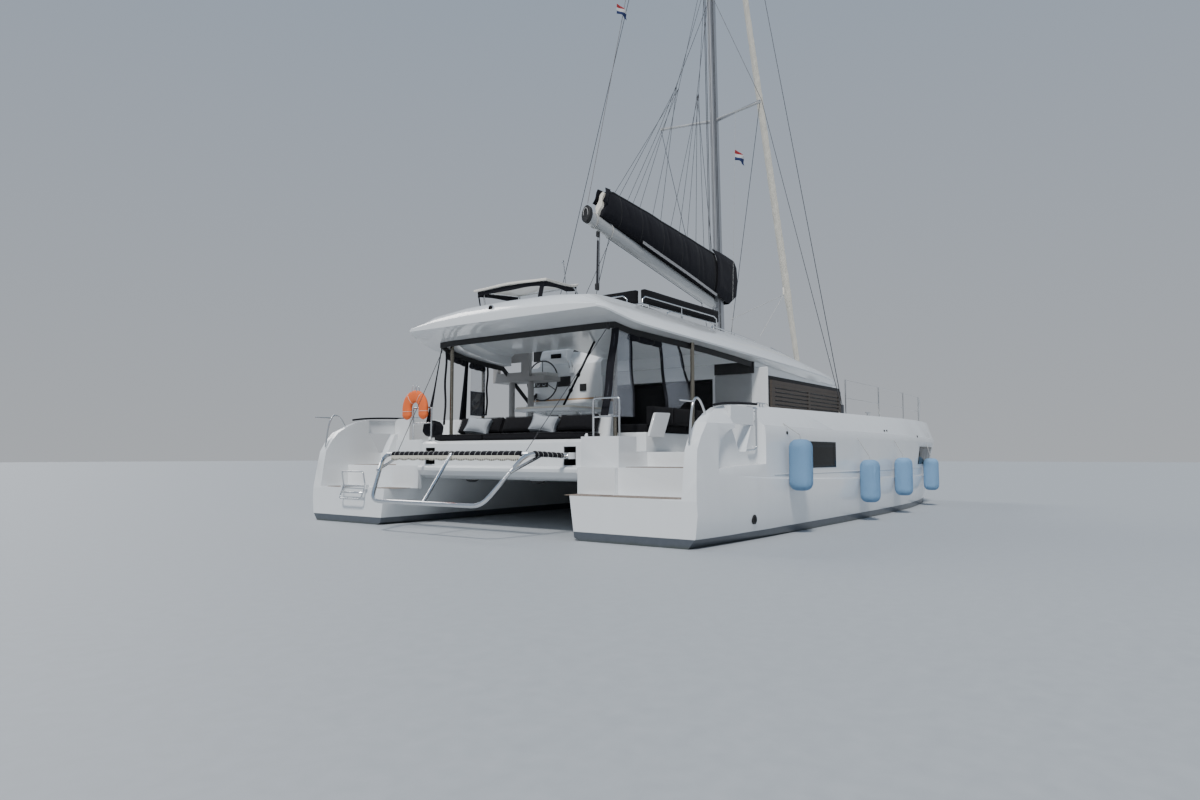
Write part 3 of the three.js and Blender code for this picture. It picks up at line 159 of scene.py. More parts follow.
class Bench:
    """The node tree of one material, with its shader.

    Args:
        name: The material's name.
    """

    def __init__(self, name: str) -> None:
        """Makes the material and clears its tree but for the shader and the output."""
        self.material = bpy.data.materials.new(name)
        self.material.use_nodes = True
        self.tree = self.material.node_tree
        self.shader = self.tree.nodes["Principled BSDF"]

    def node(self, kind: str, settings: dict[str, Any], inputs: dict[Any, Any], output: Any = 0) -> Wire:
        """Adds a node.

        Args:
            kind: The node's type without its ShaderNode prefix.
            settings: Its settings. A ramp's stops are given as a list under "stops".
            inputs: Values, or wires, by the input's name or place.
            output: The name or place of the output that is wanted.

        Returns:
            The output as a wire.
        """
        made = self.tree.nodes.new("ShaderNode" + kind)
        for key, value in settings.items():
            if key == "stops":
                self._stops(made.color_ramp, value)
            else:
                setattr(made, key, value)
        for key, value in inputs.items():
            self.feed(made.inputs[key], value)
        return Wire(self, made.outputs[output])

    @staticmethod
    def _stops(ramp: bpy.types.ColorRamp, stops: Sequence[tuple[float, Point]]) -> None:
        """Sets a ramp's stops.

        Args:
            ramp: The ramp.
            stops: Places with their colours.
        """
        while len(ramp.elements) < len(stops):
            ramp.elements.new(1.0)
        for element, (place, colour) in zip(ramp.elements, stops):
            element.position = place
            element.color = (*colour, 1.0)

    def feed(self, socket: bpy.types.NodeSocket, value: Any) -> None:
        """Links a wire to a socket, or sets a plain value on it."""
        if isinstance(value, Wire):
            self.tree.links.new(value.socket, socket)
        elif isinstance(value, (tuple, list)) and socket.type == "RGBA":
            socket.default_value = (*value[:3], 1.0)
        else:
            socket.default_value = value

    def surface(self, **sockets: Any) -> None:
        """Sets or links the shader's sockets, an underscore standing for a space."""
        for key, value in sockets.items():
            self.feed(self.shader.inputs[key.replace("_", " ")], value)

    def place(self, stretch: Point = (1, 1, 1), turn: Point = (0, 0, 0)) -> Wire:
        """Object coordinates, stretched and turned."""
        source = self.node("TexCoord", {}, {}, "Object")
        return self.node("Mapping", {}, {"Vector": source, "Scale": stretch, "Rotation": turn})

    def axes(self, place: Optional[Wire] = None) -> list[Wire]:
        """The three numbers of a place, which is the object's own unless it is given."""
        split = self.node("SeparateXYZ", {}, {0: place or self.place()})
        return [Wire(self, socket) for socket in split.socket.node.outputs]

    def speckle(self, scale: float, detail: float = 3.0, place: Optional[Wire] = None) -> Wire:
        """Noise from 0 to 1 at a scale in repeats to the metre."""
        return self.node("TexNoise", {}, {"Vector": place or self.place(), "Scale": scale, "Detail": detail})

    def mix(self, mask: Any, first: Any, second: Any) -> Wire:
        """A colour between two others."""
        made = self.tree.nodes.new("ShaderNodeMix")
        made.data_type = "RGBA"
        for socket, value in zip((made.inputs[0], made.inputs[6], made.inputs[7]), (mask, first, second)):
            self.feed(socket, value)
        return Wire(self, made.outputs[2])

    def bump(self, height: Wire, depth: float, strength: float = 1.0) -> Wire:
        """A normal bent by a height, its depth in metres."""
        return self.node("Bump", {}, {"Height": height, "Distance": depth, "Strength": strength})


def shaded(colour: Point, share: float) -> tuple[float, ...]:
    """A colour made lighter or darker by a share."""
    return tuple(min(1.0, part * share) for part in colour)


@dataclass(frozen=True)
class Finish:
    """A finish, made into a material once.

    Args:
        name: Its name.
        slot: The record's material slot that it belongs to. It is not used.
        colour: Its main colour.
        roughness: Its mean roughness.
    """

    name: str
    slot: str
    colour: Triple
    roughness: float = 0.5

    def material(self) -> bpy.types.Material:
        """The material, which is made when it is first asked for."""
        found = bpy.data.materials.get(self.name)
        if found is None:
            bench = Bench(self.name)
            self.dress(bench)
            found = bench.material
        return found

    def dress(self, bench: Bench) -> None:
        """Feeds the shader. Each kind of finish has its own way."""
        patch = bench.speckle(9.0)
        bench.surface(Base_Color=bench.mix(patch, shaded(self.colour, 0.9), shaded(self.colour, 1.08)),
                      Roughness=patch * 0.16 + (self.roughness - 0.08),
                      Normal=bench.bump(bench.speckle(260.0), 0.0006))


@dataclass(frozen=True)
class Gelcoat(Finish):
    """Glossy gelcoat with faint streaks, grit on its flat decks, and bottom paint up to a line.

    Args:
        paint_top: The height that bottom paint reaches, or None where there is none.
        grit_above: The height above which level faces carry a non-slip pattern, or None.
    """

    paint_top: Optional[float] = None
    grit_above: Optional[float] = None

    def dress(self, bench: Bench) -> None:
        """Streaks run down the sides, the paint has its scum line, and grit is a field of dots."""
        _, _, z = bench.axes()
        streak = bench.speckle(5.0, 4.0, bench.place((1, 1, 0.12)))
        colour = bench.mix(streak, shaded(self.colour, 0.965), shaded(self.colour, 1.02))
        gloss = streak * 0.1 + (self.roughness - 0.05)
        normal = bench.bump(bench.speckle(7.0, 1.0), 0.004, 0.35)
        if self.grit_above is not None:
            up = bench.axes(bench.node("NewGeometry", {}, {}, "Normal"))[2]
            level = up.between(0.97, 0.99) * (z > self.grit_above)
            dots = bench.node("TexVoronoi", {}, {"Vector": bench.place(), "Scale": 190.0}, "Distance")
            colour = bench.mix(level, colour, shaded(self.colour, 0.88))
            gloss = gloss + level * 0.35
            normal = bench.node("Bump", {}, {"Height": dots * level, "Distance": 0.0012, "Normal": normal})
        if self.paint_top is not None:
            ripple = bench.speckle(1.3) * 0.008
            under = (z - ripple).between(self.paint_top, self.paint_top - 0.006)
            slime = (z - bench.speckle(6.0) * 0.05).between(0.03, -0.05)
            paint = bench.mix(bench.speckle(14.0), (0.06, 0.072, 0.09), (0.09, 0.105, 0.125))
            paint = bench.mix(slime, paint, (0.05, 0.06, 0.05))
            colour = bench.mix(under, colour, paint)
            gloss = gloss + under * 0.4
        bench.surface(Base_Color=colour, Roughness=gloss.clamped(), Normal=normal, Coat_Weight=0.35,
                      Coat_Roughness=0.04)


@dataclass(frozen=True)
class Metal(Finish):
    """Bare metal with faint polishing marks along it.

    Args:
        along: The direction the marks run in, as a stretch of the place.
        metallic: How much of a metal it is.
    """

    along: Triple = (1.0, 1.0, 1.0)
    metallic: float = 1.0

    def dress(self, bench: Bench) -> None:
        """Smears and fine scratches change the gloss."""
        marks = bench.speckle(90.0, 4.0, bench.place(self.along))
        smear = bench.speckle(6.0)
        bench.surface(Base_Color=bench.mix(smear, shaded(self.colour, 0.9), shaded(self.colour, 1.05)),
                      Metallic=self.metallic, Roughness=smear * 0.1 + marks * 0.08 + (self.roughness - 0.09),
                      Normal=bench.bump(marks, 0.0004, 0.4))


@dataclass(frozen=True)
class Cloth(Finish):
    """Woven cloth with a thread, a nap and worn folds.

    Args:
        threads: Threads to the metre.
        heather: How far the thread's colour strays.
        relief: The weave's depth in metres.
        crumple: The depth of soft creases in metres.
        shine: How much of the sky the cloth picks up.
    """

    threads: float = 420.0
    heather: float = 0.25
    relief: float = 0.0008
    crumple: float = 0.0
    shine: float = 0.2

    def dress(self, bench: Bench) -> None:
        """Warp and weft cross as two waves, and the colour is mixed in the yarn."""
        x, y, z = bench.axes()
        warp = ((x + y) * (self.threads * TAU)).sine()
        weft = ((z + y * 0.6) * (self.threads * TAU)).sine()
        yarn = bench.speckle(self.threads * 0.55, 2.0)
        fade = bench.speckle(2.2, 3.0)
        colour = bench.mix(yarn, shaded(self.colour, 1 - self.heather), shaded(self.colour, 1 + self.heather))
        colour = bench.mix(fade * 0.5, colour, shaded(self.colour, 1.25))
        normal = bench.bump(warp * weft + yarn, self.relief)
        if self.crumple:
            creases = bench.speckle(7.0, 4.0, bench.place((1.0, 1.0, 0.5)))
            normal = bench.node("Bump", {}, {"Height": creases, "Distance": self.crumple, "Normal": normal})
        bench.surface(Base_Color=colour, Roughness=yarn * 0.1 + (self.roughness - 0.05), Normal=normal,
                      Sheen_Weight=self.shine * 0.3, Sheen_Roughness=0.5, Specular_IOR_Level=self.shine)


@dataclass(frozen=True)
class Planks(Finish):
    """Weathered teak in strips, with dark caulking between them.

    Args:
        pitch: The width of a strip.
        across: The number of the axis that the strips follow each other along.
    """

    pitch: float = 0.05
    across: int = 1

    def dress(self, bench: Bench) -> None:
        """Grain runs along each strip, and each strip has a tone of its own."""
        axes = bench.axes()
        place = axes[self.across].repeat(self.pitch)
        seam = (place - 0.5).size() > 0.45
        stretch = [1.0, 1.0, 1.0]
        stretch[self.across] = 14.0
        grain = bench.speckle(7.0, 6.0, bench.place(stretch))
        strip = bench.node("Math", {"operation": "FLOOR"}, {0: axes[self.across] / self.pitch})
        tone = bench.node("TexWhiteNoise", {"noise_dimensions": "1D"}, {"W": strip})
        wood = bench.mix(grain, shaded(self.colour, 0.72), shaded(self.colour, 1.2))
        wood = bench.mix(tone * 0.35, wood, shaded(self.colour, 0.8))
        bench.surface(Base_Color=bench.mix(seam, wood, (0.03, 0.03, 0.03)),
                      Roughness=grain * 0.2 + (self.roughness - 0.1),
                      Normal=bench.bump(grain - seam * 0.8, 0.0015))


@dataclass(frozen=True)
class Glazing(Finish):
    """Tinted acrylic or clear vinyl.

    Args:
        alpha: How much it hides of what is behind it.
        wave: The depth of its waves in metres.
        coat: How much of a second gloss lies over it.
    """

    alpha: float = 1.0
    wave: float = 0.001
    coat: float = 0.0

    def dress(self, bench: Bench) -> None:
        """A glossy sheet with slow waves and a film of salt."""
        salt = bench.speckle(30.0, 4.0)
        bench.surface(Base_Color=bench.mix(salt * 0.4, self.colour, shaded(self.colour, 1.5)),
                      Roughness=salt * 0.08 + self.roughness, Alpha=salt * 0.06 + self.alpha,
                      Normal=bench.bump(bench.speckle(1.8, 1.0), self.wave), Coat_Weight=self.coat,
                      Specular_IOR_Level=0.08 + self.coat)


@dataclass(frozen=True)
class Netting(Finish):
    """Square woven net with open holes, or with holes painted dark as shade.

    Args:
        pitch: From cord to cord.
        cord: The width of a cord.
        filled: Whether the holes are opaque and painted dark as shade instead of clear.
    """

    pitch: float = 0.025
    cord: float = 0.011
    filled: bool = False

    def dress(self, bench: Bench) -> None:
        """Cords both ways are solid, and the holes are clear, or opaque and painted dark as shade where filled.
        """
        x, y, _ = bench.axes()
        bars = [(axis.repeat(self.pitch) - 0.5).size() > 0.5 - self.cord / self.pitch / 2 for axis in (x, y)]
        solid = (bars[0] + bars[1]).clamped()
        fibre = bench.speckle(300.0)
        cords = bench.mix(fibre, shaded(self.colour, 0.8), self.colour)
        # Holes are near black: hidden where the net is clear, and where it is filled they are painted shade.
        bench.surface(Base_Color=bench.mix(solid, shaded(self.colour, 0.12), cords), Roughness=self.roughness,
                      Alpha=1.0 if self.filled else solid, Normal=bench.bump(fibre, 0.001))


@dataclass(frozen=True)
class Bunting(Finish):
    """Thin flag cloth in three plain bands, one under the other.

    Args:
        top: The height of the flag's upper edge.
        tall: The flag's height.
    """

    top: float = 0.0
    tall: float = 0.2

    def dress(self, bench: Bench) -> None:
        """Two soft steps down the hoist part the bands."""
        _, _, z = bench.axes()
        share = (z * -1.0 + self.top) / self.tall
        colour = bench.mix(share > 0.36, self.colour, (0.6, 0.6, 0.6))
        colour = bench.mix(share > 0.68, colour, (0.015, 0.03, 0.12))
        fibre = bench.speckle(300.0)
        bench.surface(Base_Color=colour, Roughness=fibre * 0.1 + self.roughness,
                      Normal=bench.bump(fibre, 0.0006))


@dataclass(frozen=True)
class Rope(Finish):
    """Braided line with a fleck in its cover.

    Args:
        fleck: The colour of the fleck.
    """

    fleck: Triple = (0.1, 0.1, 0.1)

    def dress(self, bench: Bench) -> None:
        """Strands cross in a fine braid."""
        x, y, z = bench.axes()
        braid = ((x + z) * 900.0).sine() * ((x - z + y) * 900.0).sine()
        spots = bench.speckle(160.0, 1.0).between(0.58, 0.64)
        bench.surface(Base_Color=bench.mix(spots, self.colour, self.fleck), Roughness=self.roughness,
                      Normal=bench.bump(braid, 0.0012))


WHITE = (0.80, 0.825, 0.84)
HULL_WHITE = Gelcoat("hull_gelcoat", "gelcoat", WHITE, 0.16, paint_top=0.115, grit_above=1.7)
DECK_WHITE = Gelcoat("deck_gelcoat", "gelcoat", WHITE, 0.18, grit_above=1.7)
SMOOTH_WHITE = Gelcoat("smooth_gelcoat", "gelcoat", WHITE, 0.14)
BOTTOM = Finish("bottom_paint", "antifouling", (0.12, 0.14, 0.165), 0.7)
WINDOW = Glazing("window_acrylic", "window_glass", (0.006, 0.006, 0.006), 0.1)
CABIN_GLASS = Glazing("cabin_acrylic", "window_glass", (0.014, 0.014, 0.016), 0.04, alpha=0.86)
VINYL = Glazing("clear_vinyl", "window_glass", (0.5, 0.54, 0.62), 0.06, alpha=0.13, wave=0.02, coat=0.3)
STAINLESS = Metal("polished_stainless", "stainless", (0.74, 0.75, 0.76), 0.17)
ANODISED = Metal("anodised_spar", "alloy", (0.42, 0.43, 0.45), 0.38, along=(1.0, 1.0, 0.03), metallic=0.75)
PALE_SPAR = Metal("pale_spar", "alloy", (0.5, 0.51, 0.51), 0.42, along=(1.0, 1.0, 0.03), metallic=0.35)
LIFT_BRAID = Rope("lift_braid", "net", (0.22, 0.2, 0.2), 0.8)
RIG_WIRE = Metal("rig_wire", "stainless", (0.05, 0.055, 0.065), 0.5, metallic=0.3)
POST_METAL = Metal("post_metal", "stainless", (0.27, 0.245, 0.2), 0.25)
SMOKED = Glazing("smoked_vinyl", "window_glass", (0.012, 0.016, 0.026), 0.08, alpha=0.8, wave=0.02, coat=0.3)
WHEEL_GRIP = Finish("wheel_grip", "stainless", (0.03, 0.03, 0.032), 0.45)
HELM_GREY = Finish("helm_moulding", "helm_grey", (0.33, 0.325, 0.32), 0.5)
CREAM_TOP = Gelcoat("cream_gelcoat", "cream_top", (0.78, 0.75, 0.68), 0.35)
SAILCLOTH = Cloth("cream_sailcloth", "sailcloth", (0.68, 0.65, 0.57), 0.75, threads=260.0, heather=0.06,
                  crumple=0.02)
STRIP_GREY = Cloth("bag_foot_strip", "sailcloth", (0.3, 0.3, 0.31), 0.7, threads=260.0, heather=0.06)
CUSHION = Cloth("charcoal_cloth", "cushion", (0.011, 0.011, 0.013), 0.85, crumple=0.006, shine=0.1)
PILLOW = Cloth("pillow_cloth", "cushion", (0.37, 0.4, 0.43), 0.9, threads=300.0, heather=0.1, crumple=0.01)
BAG_CLOTH = Cloth("sail_bag_cloth", "canvas", (0.011, 0.011, 0.015), 0.75, threads=300.0, relief=0.0003,
                  crumple=0.02, shine=0.12)
NET = Netting("trampoline_net", "net", (0.75, 0.76, 0.77), 0.8)
# Its holes are opaque and painted dark as shade.
LIGHT_NET = Netting("davit_net", "net", (0.6, 0.58, 0.5), 0.85, pitch=0.034, cord=0.017, filled=True)
TEAK = Planks("weathered_teak", "teak", (0.27, 0.215, 0.175), 0.75)
SLATS = Planks("gangway_slats", "teak", (0.07, 0.055, 0.043), 0.6, pitch=0.062, across=2)
KNIT = Cloth("fender_knit", "fender_cover", (0.23, 0.42, 0.66), 0.88, threads=200.0, heather=0.12,
             relief=0.002, crumple=0.004)
BUOY_COVER = Cloth("buoy_cover", "buoy_cover", (0.55, 0.004, 0.0), 0.6, threads=250.0, heather=0.08,
                   crumple=0.004, shine=0.05)
HELM_PAD = Cloth("helm_pad", "cushion", (0.5, 0.5, 0.49), 0.7, threads=300.0, heather=0.06, relief=0.0004)
GREY_PANEL = Finish("bulkhead_grey", "helm_grey", (0.33, 0.34, 0.35), 0.4)
TABLE_TOP = Gelcoat("table_cream", "cream_top", (0.76, 0.72, 0.63), 0.3)
TAN = Finish("tan_trim", "teak", (0.5, 0.3, 0.15), 0.5)
GALVANISED = Metal("galvanised_iron", "stainless", (0.45, 0.46, 0.47), 0.45)
IRON = Finish("engine_paint", "engine_iron", (0.3, 0.31, 0.32), 0.55)
BRONZE = Metal("propeller_bronze", "bronze", (0.5, 0.35, 0.14), 0.3)
RUBBER = Finish("black_rubber", "canvas", (0.012, 0.012, 0.013), 0.55)
BRAID = Rope("white_braid", "net", (0.62, 0.62, 0.6), 0.8)
DARK_BRAID = Rope("dark_braid", "canvas", (0.02, 0.021, 0.025), 0.8, fleck=(0.25, 0.25, 0.27))


# Making pieces


def dressed(piece: Piece, finish: Finish) -> Piece:
    """Gives a piece its finish alone."""
    piece.data.materials.clear()
    piece.data.materials.append(finish.material())
    return piece


def shown(piece: Piece, finish: Finish, body: str = "root", *nodes: str) -> Piece:
    """Gives a piece its finish and its body, and hides the nodes that it stands for.

    Args:
        piece: The finished piece.
        finish: Its finish.
        body: The body that it rides on.
        nodes: The nodes that it replaces.

    Returns:
        The piece.
    """
    dressed(piece, finish)
    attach(piece, body)
    if nodes:
        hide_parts(*nodes)
    LOG.info("piece %s on %s", piece.name, body)
    return piece


def linked(name: str, mesh: Any) -> Piece:
    """Puts a mesh or a curve into the scene as an object at the origin."""
    piece = bpy.data.objects.new(name, mesh)
    bpy.context.scene.collection.objects.link(piece)
    return piece


def meshed(name: str, form: bmesh.types.BMesh, smooth_below: float = 35.0) -> Piece:
    """Turns a bmesh into an object, smooth but for its sharp edges.

    Args:
        name: The piece's name.
        form: The bmesh, which is freed.
        smooth_below: The angle in degrees up to which an edge is smooth.

    Returns:
        The object.
    """
    mesh = bpy.data.meshes.new(name)
    form.to_mesh(mesh)
    form.free()
    mesh.shade_smooth()
    mesh.set_sharp_from_angle(angle=radians(smooth_below))
    return linked(name, mesh)


def softened(piece: Piece, width: float, segments: int = 2, angle: float = 30.0) -> Piece:
    """Rounds a piece's sharp edges with a live bevel.

    Args:
        piece: The piece.
        width: The bevel's width in metres.
        segments: Its segments.
        angle: The angle in degrees past which an edge is rounded.

    Returns:
        The piece.
    """
    bevel = piece.modifiers.new("edges", "BEVEL")
    bevel.width = width
    bevel.segments = segments
    bevel.limit_method = "ANGLE"
    bevel.angle_limit = radians(angle)
    bevel.harden_normals = True
    return piece


def moulding(node: str, finish: Finish, edge: float = 0.006, turn: float = 32.0,
             body: str = "root") -> Piece:
    """Shows a node as a copy with its triangles joined, its curves smooth and its edges rounded.

    Args:
        node: The node.
        finish: Its finish.
        edge: The width of the rounding.
        turn: The angle in degrees up to which an edge is part of a curve.
        body: The body that it rides on.

    Returns:
        The piece.
    """
    form = bmesh.new()
    form.from_mesh(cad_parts[node].data)
    bmesh.ops.remove_doubles(form, verts=form.verts, dist=0.0002)
    bmesh.ops.dissolve_limit(form, angle_limit=radians(0.8), verts=form.verts, edges=form.edges)
    piece = meshed(node + "_finished", form, turn)
    if edge:
        softened(piece, edge, 2, turn)
    return shown(piece, finish, body, node)


def upward(height: float) -> Vector:
    """The way straight up by a height."""
    return Vector([0.0, 0.0, height])


def turns(count: int, closed: bool = False) -> list[float]:
    """The angles of the points of a circle, with the first point once more at the end where it is closed."""
    return [TAU * k / count for k in range(count + closed)]


def round_section(radius: float, count: int = 24) -> list[Pair]:
    """The points of a round section."""
    return [(radius * cos(a), radius * sin(a)) for a in turns(count)]


def rectangle(x0: float, y0: float, x1: float, y1: float) -> list[Pair]:
    """The corners of a rectangle."""
    return [(x0, y0), (x1, y0), (x1, y1), (x0, y1)]


def flat_section(a: float, b: float) -> list[Pair]:
    """The corners of a flat section, from its two half widths."""
    return rectangle(-a, -b, a, b)


def between_rows(rows: Sequence[Sequence[float]], place: float) -> list[float]:
    """Reads a table between its rows.

    Args:
        rows: The rows, whose first numbers rise from row to row.
        place: Where it is read, in the terms of those first numbers.

    Returns:
        The other numbers at that place.
    """
    low, high = next((pair for pair in zip(rows, rows[1:]) if place <= pair[1][0]), rows[-2:])
    share = (place - low[0]) / (high[0] - low[0])
    return [a + (b - a) * share for a, b in zip(low[1:], high[1:])]


def sheeted(name: str, across: int, along: int, surface: Surface, closed: bool = False,
            thick: float = 0.0) -> Piece:
    """Makes a piece from a grid that a function carries to its place.

    Args:
        name: The piece's name.
        across: Faces across the grid.
        along: Faces along the grid.
        surface: The place of each point, from its two shares of the grid.
        closed: Whether the grid's two long edges meet, so that it is a tube with closed ends.
        thick: The thickness that a sheet gets.

    Returns:
        The object.
    """
    form = bmesh.new()
    bmesh.ops.create_grid(form, x_segments=across, y_segments=along, size=0.5)
    for vert in form.verts:
        vert.co = Vector(surface(vert.co.x + 0.5, vert.co.y + 0.5))
    if closed:
        bmesh.ops.remove_doubles(form, verts=form.verts, dist=0.0004)
        bmesh.ops.holes_fill(form, edges=[edge for edge in form.edges if edge.is_boundary], sides=0)
        bmesh.ops.recalc_face_normals(form, faces=form.faces)
    piece = meshed(name, form, 50.0)
    if thick:
        piece.modifiers.new("thickness", "SOLIDIFY").thickness = thick
    return piece


def lines(name: str, runs: Sequence[Sequence[Point]], radius: float, finish: Finish, body: str = "root",
          sides: int = 2, smooth: bool = False) -> Piece:
    """Makes a set of lines, wires or tubes as one curve.

    Args:
        name: The piece's name.
        runs: The points of each line.
        radius: Their radius.
        finish: Their finish.
        body: The body that they ride on.
        sides: The resolution of their section.
        smooth: Whether they run smooth through their points.

    Returns:
        The piece.
    """
    curve = bpy.data.curves.new(name, "CURVE")
    curve.dimensions = "3D"
    curve.bevel_depth = radius
    curve.bevel_resolution = sides
    curve.use_fill_caps = True
    curve.resolution_u = 6
    for run in runs:
        spline = curve.splines.new("NURBS" if smooth else "POLY")
        spline.points.add(len(run) - 1)
        for point, place in zip(spline.points, run):
            point.co = (*place, 1.0)
        if smooth:
            spline.order_u = 3
            spline.use_endpoint_u = True
    return shown(linked(name, curve), finish, body)


def rounded_box(name: str, low: Point, high: Point, edge: float, segments: int = 3) -> Piece:
    """Makes a box with rounded edges.

    Args:
        name: The piece's name.
        low: Its lowest corner.
        high: Its highest corner.
        edge: The radius of its edges.
        segments: The segments of its rounding.

    Returns:
        The object.
    """
    form = bmesh.new()
    size = [b - a for a, b in zip(low, high)]
    middle = [(a + b) / 2 for a, b in zip(low, high)]
    bmesh.ops.create_cube(form, size=1.0, matrix=Matrix.Translation(middle) @ Matrix.Diagonal((*size, 1.0)))
    bmesh.ops.bevel(form, geom=form.edges[:], offset=edge, segments=segments, affect="EDGES", profile=0.5,
                    material=-1)
    return meshed(name, form)


def boxes(*rows: tuple[str, Point, Point, float, Finish]) -> None:
    """Makes fixed boxes, each from its name, its two corners, the radius of its edges and its finish."""
    for name, low, high, edge, finish in rows:
        shown(rounded_box(name, low, high, edge), finish)


def skinned(form: bmesh.types.BMesh, rings: Sequence[Sequence[bmesh.types.BMVert]]) -> None:
    """Joins rings of points with faces and closes both ends."""
    for near, far in zip(rings, rings[1:]):
        for k in range(len(near)):
            form.faces.new((near[k - 1], near[k], far[k], far[k - 1]))
    form.faces.new(rings[0])
    form.faces.new(rings[-1][::-1])


def swept(name: str, path: Sequence[Point], section: Sequence[Pair],
          smooth_below: float = 35.0) -> Piece:
    """Makes a strap, strip or moulding by carrying a section along a path.

    Args:
        name: The piece's name.
        path: The points of the path.
        section: The section's corners, as distances to the path's side and over it.
        smooth_below: The angle in degrees up to which an edge is smooth.

    Returns:
        The object.
    """
    form = bmesh.new()
    places = [Vector(point) for point in path]
    rings = []
    for i, place in enumerate(places):
        ahead = (places[min(i + 1, len(places) - 1)] - places[max(i - 1, 0)]).normalized()
        up = upward(1) if abs(ahead.z) < 0.9 else Vector((0, 1, 0))
        out = ahead.cross(up).normalized()
        rise = out.cross(ahead)
        rings.append([form.verts.new(place + out * a + rise * b) for a, b in section])
    skinned(form, rings)
    bmesh.ops.recalc_face_normals(form, faces=form.faces)
    return meshed(name, form, smooth_below)


def shared_lines(name: str, runs: Sequence[Sequence[Point]], radius: float, finish: Finish, moving: str) -> Piece:
    """Makes taut lines as one mesh that leads from a moving body to the fixed boat.

    Args:
        name: The piece's name.
        runs: The two ends of each line.
        radius: Their radius.
        finish: Their finish.
        moving: The body at their first end.

    Returns:
        The piece.
    """
    form = bmesh.new()
    parts = 12
    for first, last in runs:
        first, last = Vector(first), Vector(last)
        side = (last - first).cross(Vector((0.3, 1.0, 0.1))).normalized()
        up = side.cross(last - first).normalized()
        skinned(form, [[form.verts.new(first.lerp(last, k / parts) + (side * cos(a) + up * sin(a)) * radius)
                        for a in turns(6)] for k in range(parts + 1)])
    bmesh.ops.recalc_face_normals(form, faces=form.faces)
    piece = dressed(meshed(name, form, 70.0), finish)
    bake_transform(piece)
    LOG.info("piece %s between %s and root", name, moving)
    return piece


def rounded(corners: Sequence[Pair], radius: float, steps: int = 5) -> list[Pair]:
    """An outline with each of its corners turned into an arc.

    Args:
        corners: The outline's corners.
        radius: How far along its two edges a corner's rounding starts.
        steps: The points on each arc, less one.

    Returns:
        The points of the rounded outline.
    """
    outline = []
    for i, corner in enumerate(corners):
        middle = Vector(corner)
        beside = [Vector(corners[j % len(corners)]) for j in (i - 1, i + 1)]
        ends = [middle + (other - middle).normalized() * radius for other in beside]
        for k in range(steps + 1):
            t = k / steps
            outline.append(tuple(ends[0] * (1 - t) ** 2 + middle * 2 * t * (1 - t) + ends[1] * t ** 2))
    return outline


def dome(name: str, middle: Point, radii: Point, across: int, along: int) -> Piece:
    """Makes the upper half of an ellipsoid.

    Args:
        name: The piece's name.
        middle: The middle of its foot.
        radii: Its radius on each axis.
        across: Faces round it.
        along: Faces from its foot to its top.

    Returns:
        The object.
    """
    def surface(u: float, v: float) -> Point:
        """A point of the ellipsoid."""
        angle, rise = TAU * u, pi / 2 * v
        way = (cos(rise) * cos(angle), cos(rise) * sin(angle), sin(rise))
        return [m + r * w for m, r, w in zip(middle, radii, way)]

    return sheeted(name, across, along, surface, closed=True)


def plate(name: str, outline: Sequence[Pair], depth: float,
          carry: Callable[[float, float, float], Point]) -> Piece:
    """Makes a plate from an outline that a function carries to its place.

    Args:
        name: The piece's name.
        outline: The outline's points.
        depth: The plate's thickness, which is handed to the function for its far face.
        carry: The place of a point, from its two numbers in the outline and its depth.

    Returns:
        The object.
    """
    form = bmesh.new()
    near, far = [[form.verts.new(carry(u, v, level)) for u, v in outline] for level in (0.0, depth)]
    form.faces.new(near)
    form.faces.new(far[::-1])
    for k in range(len(outline)):
        form.faces.new((near[k - 1], far[k - 1], far[k], near[k]))
    bmesh.ops.recalc_face_normals(form, faces=form.faces)
    return meshed(name, form)


class Probe:
    """Finds where the surface of a node lies.

    Args:
        node: The node.
    """

    def __init__(self, node: str) -> None:
        """Keeps the node's surface as a tree."""
        form = bmesh.new()
        form.from_mesh(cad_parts[node].data)
        self.tree = BVHTree.FromBMesh(form)
        form.free()

    def hit(self, origin: Point, way: Point) -> Vector:
        """The first point of the surface from an origin along a direction."""
        place = self.tree.ray_cast(Vector(origin), Vector(way))[0]
        if place is None:
            LOG.warning("nothing is met from %s", tuple(origin))
            return Vector(origin)
        return place

    def top(self, x: float, y: float) -> Vector:
        """The highest point of the surface at a place of the plan."""
        return self.hit((x, y, OVERHEAD), (0, 0, -1))

    def flank(self, side: Side, x: float, z: float) -> Vector:
        """The outermost point of the surface on a side of the boat."""
        return self.hit((x, side.value * BESIDE, z), (0, -side.value, 0))


